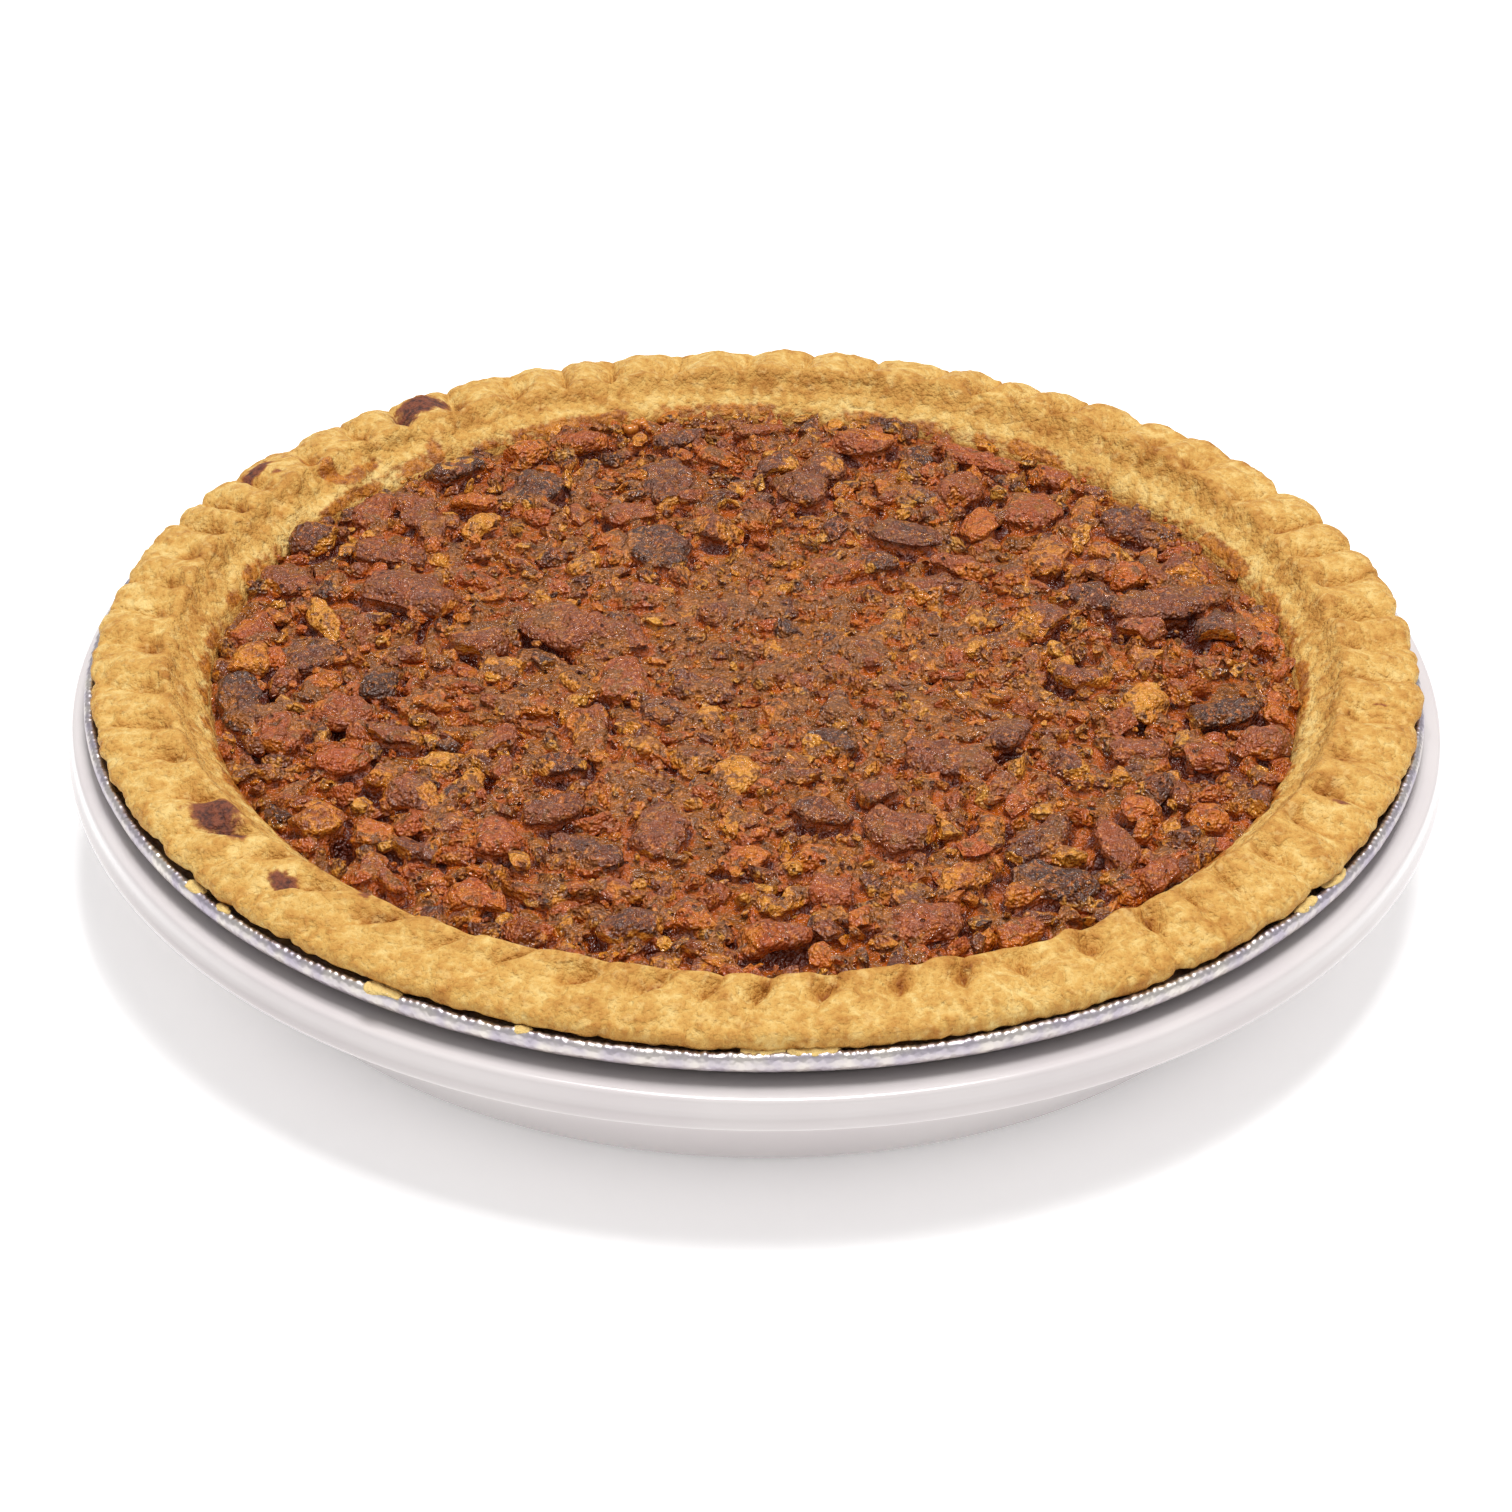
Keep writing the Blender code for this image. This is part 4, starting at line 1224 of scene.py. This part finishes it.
# %% Nut and custard materials
SKIN = [
    (0.0, paint_of(167, 76, 22)),
    (0.28, paint_of(149, 73, 32)),
    (0.52, paint_of(131, 68, 36)),
    (0.78, paint_of(105, 56, 34)),
    (1.0, paint_of(79, 47, 32)),
]
FLESH = [
    (0.0, paint_of(178, 81, 11)),
    (0.35, paint_of(190, 105, 20)),
    (0.7, paint_of(204, 131, 34)),
    (1.0, paint_of(208, 146, 53)),
]
CUSTARD = [
    (0.22, paint_of(107, 62, 30)),
    (0.42, paint_of(130, 78, 32)),
    (0.58, paint_of(146, 85, 32)),
    (0.78, paint_of(173, 102, 31)),
]


def filling_material(name):
    """Nuts and custard in one: painted numbers say which shows, and every gap gets painted shade, amber and
    then dark red.
    """
    material, shader, place = begin_material(name, specular_ior_level=0.6)
    tone, flesh, bare, shade = (layer(place, kind) for kind in ("tone", "flesh", "bare", "shade"))
    broad, blotch = grain(place, 4.5 * MM, 3.0), grain(place, 2.6 * MM, 3.0, distortion=1.0)
    fine, tiny = grain(place, 1.1 * MM, 3.0), grain(place, 0.4 * MM, 2.0)
    fleck = grain(place, 1.0 * MM, 2.0, 0.6)

    # the nuts: skin by tone, paler flesh where they are broken
    skin_tone = (tone + 0.9 * (broad - 0.5) + 0.5 * (fine - 0.5)).clamped()
    skin = skin_tone.ramp(SKIN)
    flesh_tone = (0.8 * tone + 0.9 * (broad - 0.5) + 0.9 * (fine - 0.5) + 0.1).clamped()
    inside = flesh_tone.ramp(FLESH)
    flake = grain(place, 1.7 * MM, 3.0, distortion=1.0).between(0.55, 0.66)
    skin = (0.6 * flake).mixed(skin, paint_of(181, 97, 31))
    colour = (flesh + 1.1 * (blotch - 0.5) + 0.7 * (fine - 0.5)).between(0.35, 0.7).mixed(skin, inside)

    # the custard over and between them
    tint = (broad + 0.5 * (blotch - 0.5) + 0.7 * (fine - 0.5)).clamped()
    film = tint.ramp(CUSTARD)
    smear = grain(place, 3.4 * MM, 3.0, distortion=0.8).between(0.48, 0.6)
    bare = bare - 0.45 * smear
    colour = (bare + 1.3 * (blotch - 0.5) + 0.8 * (fine - 0.5)).between(0.25, 0.7).mixed(film, colour)
    # fine flecks: the dark ones are painted shade of tiny pits, the bright ones are painted glints
    colour = (0.55 * fleck.between(0.44, 0.34)).mixed(colour, (0.42, 0.2, 0.1, 1.0), "MULTIPLY")
    colour = (0.5 * fleck.between(0.56, 0.68)).mixed(colour, paint_of(216, 133, 53))

    # painted shade by gap depth: amber at first, partly caramel and partly painted light glowing through the
    # nuts, then dark red; small holes painted dark as shade
    deep = (shade + 0.5 * (fine - 0.5)).clamped()
    colour = (0.75 * deep.between(0.08, 0.4)).mixed(colour, paint_of(184, 83, 4))
    colour = deep.between(0.34, 0.9).mixed(colour, paint_of(84, 25, 0))
    holes = speckles(place, 2.6 * MM).between(0.21, 0.12) * grain(place, 3.1 * MM).between(0.5, 0.56)
    colour = (0.9 * holes).mixed(colour, paint_of(62, 14, 0))

    # sticky: dull on the crumbs, wet in patches where the rough surface glitters
    wet = grain(place, 4.0 * MM, 2.0).between(0.5, 0.62)
    height = 0.8 * grain(place, 1.1 * MM, 1.0) + 0.3 * grain(place, 0.5 * MM, 0.0) + 0.1 * tiny - 0.3 * holes
    plug(shader, base_color=colour, roughness=(0.38 - 0.3 * wet + 0.15 * (fine - 0.5)).clamped(),
         normal=relief(height, 1.6 * MM))
    return material


# %% Scatter the heap
pecan = filling_material("pecan")
custard = filling_material("caramel_custard")
large_nuts = make_large_nuts(pecan)
middling_nuts = make_middling_nuts(pecan)
heap_map = HeightMap()
for piece in (*large_nuts, middling_nuts):
    heap_map.cover(piece)


def moat(x, y):
    """Where the custard has shrunk away from a raised nut, from 0 to 1: arcs here and there round it."""
    near = nut_glow[heap_map.index(x, y)]
    arcs = noise(np.c_[x, y, 0 * x], 7.0 * MM, 43) - 0.5 * (np.hypot(x, y) < 45 * MM)
    return smoothstep(0.03, 0.12, near) * (1.0 - smoothstep(0.5, 0.7, near)) * smoothstep(-0.1, 0.25, arcs)


BED_GRID = 160


def make_bed(patchy):
    """The level filling as a sheet, painted with the room that is left and with how deep pieces sink."""
    x, y, quads = disc_grid(BED_GRID, FILLING_RADIUS - 1.5 * MM)
    level = filling_height(x, y)
    proud = heap_map.sample(heap_map.top, x, y) > level + 0.6 * MM
    room = 1.0 - smoothstep(0.15, 0.5, crevice_depth(x, y))
    room = room * np.where(proud, 0.0, 1.0) * (1.0 - smoothstep(0.3, 0.7, moat(x, y)))
    room = room * (1.0 - patchy * smoothstep(0.1, 0.5, noise(np.c_[x, y, 0 * x], 6 * MM, 41)))
    bed = piece_from("bed", np.column_stack([x, y, level]), quads, pastry)
    paint(bed, "room", room)
    paint(bed, "sunk", 0.9 * MM * np.exp(-((np.hypot(x, y) / (60 * MM)) ** 2)) - 0.5 * MM)
    return bed


nut_glow = blurred((heap_map.top > filling_height(*heap_map.places()) + 0.3 * MM).astype(float), 2.4)
tree = scatter_tree()
bed = make_bed(0.0)
brown_chips = scattered("brown_chips", tree, bed, {
    "Chips": chip_models("brown_chip", 9, 61, 0.0, 0.5, 0.52, 4, 8), "Spacing": 3.5 * MM, "Density": 1.0e5,
    "Smallest": 4.5 * MM, "Largest": 9.5 * MM, "Sink": 1.0 * MM, "Tilt": 0.28, "Seed": 3, "Material": pecan})
pale_chips = scattered("pale_chips", tree, bed, {
    "Chips": chip_models("pale_chip", 9, 87, 0.5, 0.9, 0.6, 4, 7), "Spacing": 5.0 * MM, "Density": 1.0e5,
    "Smallest": 3.0 * MM, "Largest": 7.0 * MM, "Sink": 1.0 * MM, "Tilt": 0.5, "Seed": 9, "Material": pecan})
for chips in (brown_chips, pale_chips):
    heap_map.cover(chips)
bpy.data.objects.remove(bed)
bed = make_bed(0.5)
crumbs = scattered("crumbs", tree, bed, {
    "Chips": chip_models("crumb", 6, 95, 0.2, 0.6, 0.8, 2, 6), "Spacing": 3.2 * MM, "Density": 4.0e5,
    "Smallest": 1.2 * MM, "Largest": 2.6 * MM, "Sink": -1.0 * MM, "Tilt": 0.9, "Seed": 15, "Material": pecan})
bpy.data.objects.remove(bed)
for piece in (middling_nuts, brown_chips, pale_chips, crumbs):
    print(piece.name, len(piece.data.polygons), "faces,", triangles(piece), "triangles")

# %% [markdown]
# ## The custard
#
# Custard wets the nuts: it climbs their sides, lies almost flush over the small ones in the middle
# of the pie, and sinks in the crevices. So its surface is the baked level plus a share of the
# softened map of the nuts. Small pits are left where bubbles burst.


# %% Pour the custard
BUBBLES = 520


def burst_bubbles(x, y):
    """Depth, in metres, of the small pits that burst bubbles leave."""
    dice = random.Random(77)
    depth = np.zeros(x.shape)
    for _ in range(BUBBLES):
        reach, turn = 98 * MM * dice.random() ** 0.5, tau * dice.random()
        radius = dice.uniform(0.55, 1.25) * MM
        away = ((x - reach * cos(turn)) ** 2 + (y - reach * sin(turn)) ** 2) / radius**2
        depth = np.maximum(depth, dice.uniform(0.7, 1.8) * MM * np.exp(-(away**1.5)))
    return depth


def custard_level(x, y):
    """Height of the custard's surface, in metres: it wraps the small pieces and sags between them."""
    share = np.hypot(x, y) / FILLING_RADIUS
    flat = np.c_[x.ravel(), y.ravel(), 0 * x.ravel()]
    lumps = (0.30 * noise(flat, 2.4 * MM, 51) + 0.22 * noise(flat, 1.1 * MM, 52)).reshape(x.shape) * MM
    lumps = lumps + 0.3 * MM + 0.3 * MM * np.exp(-((share / 0.5) ** 2))
    level = np.maximum(wrapped, filling_height(x, y) - 1.2 * MM) + lumps
    level = level - 3.0 * MM * smoothstep(0.3, 0.9, crevice_depth(x.ravel(), y.ravel()).reshape(x.shape))
    level = level - burst_bubbles(x, y) - 1.0 * MM * moat(x.ravel(), y.ravel()).reshape(x.shape)
    return level - 0.8 * MM * smoothstep(0.975, 1.0, share)


wrapped = blurred(np.minimum(heap_map.top, filling_height(*heap_map.places()) + 1.2 * MM), 1.3)
custard_map = custard_level(*heap_map.places())


CUSTARD_GRID = 290
# share of the edge's radius and height of the hidden rings under the edge, and of the floor's middle
CUSTARD_SIDE = [(0.99, 29.0 * MM), (0.905, 13.0 * MM), (0.885, 12.0 * MM)]
CUSTARD_FLOOR = 12.0 * MM


def make_custard(material):
    """The filling's body: the poured surface on a squared disc, closed by a wall and a floor."""
    count = CUSTARD_GRID
    x, y, faces = disc_grid(count, FILLING_RADIUS - 0.2 * MM)
    points = np.column_stack([x, y, heap_map.sample(custard_map, x, y)])
    side = np.arange(count - 1)
    edge = np.concatenate([side * count, (count - 1) * count + side,
                           (count - 1 - side) * count + count - 1, count - 1 - side])
    rims = [points[edge] * (share, share, 0.0) + (0.0, 0.0, height) for share, height in CUSTARD_SIDE]
    ring = len(edge)
    starts = [edge] + [len(points) + number * ring + np.arange(ring) for number in range(len(rims))]
    for upper, lower in zip(starts, starts[1:]):
        faces += np.column_stack([upper, np.roll(upper, -1), np.roll(lower, -1), lower])[:, ::-1].tolist()
    pole = len(points) + len(rims) * ring
    lowest = starts[-1].tolist()
    faces += [(after, here, pole) for here, after in zip(lowest, lowest[1:] + lowest[:1])]
    points = np.vstack([points, *rims, [(0.0, 0.0, CUSTARD_FLOOR)]])
    return piece_from("custard", points, faces, material)


core = make_custard(custard)
print("custard:", len(core.data.polygons), "faces")


# %% Paint the gaps and the film, then lay the filling in the dish
surface = np.maximum(heap_map.top, custard_map)
wide_blur, close_blur = blurred(surface, 5.0), blurred(surface, 2.0)


def finish_filling(piece, slot):
    """Paints how deep each point lies among its neighbours and how much nut shows, then lays it down."""
    points = np.empty(len(piece.data.vertices) * 3, np.float32)
    piece.data.vertices.foreach_get("co", points)
    points = points.reshape(-1, 3).astype(float)
    x, y, z = points.T
    depth = 0.55 * (heap_map.sample(wide_blur, x, y) - z) + 0.45 * (heap_map.sample(close_blur, x, y) - z)
    paint(piece, "shade", smoothstep(0.1 * MM, 2.2 * MM, depth))
    if slot == "custard":
        nut, film = heap_map.sample(heap_map.top, x, y), z
        paint(piece, "tone", heap_map.sample(blurred(heap_map.tone, 0.8), x, y))
        paint(piece, "flesh", heap_map.sample(blurred(heap_map.flesh, 0.8), x, y))
    else:
        nut, film = z, heap_map.sample(custard_map, x, y)
    paint(piece, "bare", smoothstep(-0.9 * MM, 0.9 * MM, nut - film))
    piece.data.vertices.foreach_set("co", laid_in_dish(points).astype(np.float32).ravel())
    piece.data.update()
    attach(piece, "root")


for piece in (*large_nuts, middling_nuts, brown_chips, pale_chips, crumbs):
    finish_filling(piece, "pecan")
finish_filling(core, "custard")
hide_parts("filling")
print("filling laid in the dish")

# %% [markdown]
# ## Drips and bubbles
#
# Soft dough ran over the edge before it set, and left flat pale drips on the foil. At the back some
# caramel boiled up the crust and set as a row of small clear beads.

# %% Dough drips on the foil, caramel beads at the back
# x, y, length, width, height in mm, height above the table
DRIPS = [
    (-94.6, -79.3, 5.0, 2.8, 1.3, 35.3),
    (-89.3, -85.6, 3.4, 2.0, 1.0, 35.2),
    (-60.0, -108.3, 7.5, 3.2, 1.5, 35.2),
    (-36.6, -118.1, 3.4, 2.4, 1.2, 35.1),
    (2.4, -123.0, 7.5, 2.8, 1.2, 35.2),
    (10.6, -122.6, 9.0, 3.2, 1.3, 35.3),
    (100.6, -71.1, 7.5, 2.8, 1.3, 35.3),
    (94.8, -79.1, 7.0, 2.4, 1.2, 35.2),
]
# the drips are paler than the palest crust
DRIP_BAKE = -0.2
# x, y and height above the table in mm
BEADS_AT = (-24, 94.5, 34.6)
BEAD_SIZES = (2.6, 2.2, 1.9, 1.7, 1.5, 1.3, 1.2, 1.1)


def make_blobs(name, material, blobs, seed):
    """Flat rounded blobs laid along the rim: x, y, length, width, height and z, in mm."""
    points, faces = [], []
    for number, (x, y, length, width, high, z) in enumerate(blobs):
        body, quads, _ = nut_body(length * MM, width * MM, high * MM, seed + 9 * number, [], 9, 16)
        place = Matrix.Translation((x * MM, y * MM, z * MM))
        place = place @ Matrix.Rotation(np.arctan2(y, x) + 0.5 * pi, 4, "Z")
        faces += [tuple(corner + sum(map(len, points)) for corner in quad) for quad in quads]
        points.append(placed(body, place))
    return piece_from(name, laid_in_dish(np.vstack(points)), faces, material)


def amber_material():
    """Clear amber caramel, very glossy."""
    material, shader, place = begin_material("amber_caramel", roughness=0.12)
    plug(shader, base_color=grain(place, 1.2 * MM).mixed(paint_of(150, 74, 14), paint_of(208, 128, 42)))
    return material


drips = make_blobs("dough_drips", pastry, DRIPS, 900)
for name, value in (("bake", DRIP_BAKE), ("burn", 0.0), ("leak", 0.0)):
    paint(drips, name, np.full(len(drips.data.vertices), value))
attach(drips, "root")
dice = random.Random(31)
east, north, height = BEADS_AT
beads = [(east + dice.uniform(-3, 3), north + dice.uniform(-2.5, 2.5), size, size, size, height)
         for size in BEAD_SIZES]
bubbles = make_blobs("caramel_beads", amber_material(), beads, 950)
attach(bubbles, "root")
print("drips and beads:", len(drips.data.polygons) + len(bubbles.data.polygons), "faces")

# %% [markdown]
# ## The floor, the light and the camera
#
# A plain white table under a large soft lamp, with a second lamp low in front to open the shadows
# and a small one high up for the sparkle on the custard. The camera looks down at the pie from the
# front, a long lens some way off, so that the dish keeps its shape.

# %% Studio
def make_floor():
    """A large white table top."""
    material, shader, place = begin_material(
        "white_table", roughness=0.9, specular_ior_level=0.1,
        emission_color=(1.0, 1.0, 1.0, 1.0), emission_strength=0.2)
    tone = grain(place, 400 * MM, 1.0).mixed(paint_of(254, 254, 254), paint_of(251, 251, 251))
    plug(shader, base_color=tone)
    points = [(-3.0, -3.0, -0.0002), (3.0, -3.0, -0.0002), (3.0, 3.0, -0.0002), (-3.0, 3.0, -0.0002)]
    table = piece_from("white_table", points, [(0, 1, 2, 3)], material)


def make_lamp(name, place, target, width, depth, power):
    """A soft rectangular lamp aimed at a point."""
    lamp = bpy.data.objects.new(name, bpy.data.lights.new(name, "AREA"))
    lamp.data.shape = "RECTANGLE"
    lamp.data.size, lamp.data.size_y = width, depth
    lamp.data.energy = power
    lamp.location = place
    lamp.rotation_euler = (Vector(target) - Vector(place)).to_track_quat("-Z", "Y").to_euler()
    bpy.context.scene.collection.objects.link(lamp)


def make_camera():
    """A long lens at the height of someone standing at the table."""
    elevation, distance, aim_height = radians(32.5), 0.720, 0.0255
    camera = bpy.data.objects.new("camera", bpy.data.cameras.new("camera"))
    camera.data.lens, camera.data.sensor_width = 90.3, 36.0
    aim = Vector((0.0, 0.0, aim_height))
    camera.location = aim + distance * Vector((0.0, -cos(elevation), sin(elevation)))
    look = (aim - camera.location).to_track_quat("-Z", "Y").to_matrix()
    drop = Matrix.Rotation(radians(-0.814), 3, "X")
    roll = Matrix.Rotation(radians(0.91), 3, "Z")
    camera.rotation_euler = (look @ drop @ roll).to_euler()
    bpy.context.scene.collection.objects.link(camera)
    bpy.context.scene.camera = camera


def make_sky():
    """Even white light from all round."""
    world = bpy.data.worlds.new("studio")
    world.use_nodes = True
    world.node_tree.nodes["Background"].inputs["Color"].default_value = (1.0, 1.0, 1.0, 1.0)
    world.node_tree.nodes["Background"].inputs["Strength"].default_value = 0.62
    bpy.context.scene.world = world
    bpy.context.scene.view_settings.view_transform = "Standard"


make_floor()
make_sky()
make_lamp("overhead", (0.1, -0.05, 1.2), (0.0, 0.0, 0.0), 0.5, 0.4, 11.5)
make_lamp("front", (-0.5, -1.3, 0.8), (0.0, 0.0, 0.03), 0.8, 0.5, 0.25)
make_lamp("sparkle", (-0.15, 0.25, 1.15), (0.0, 0.0, 0.03), 0.09, 0.09, 1.8)
make_camera()
print("lamps, table and camera placed")
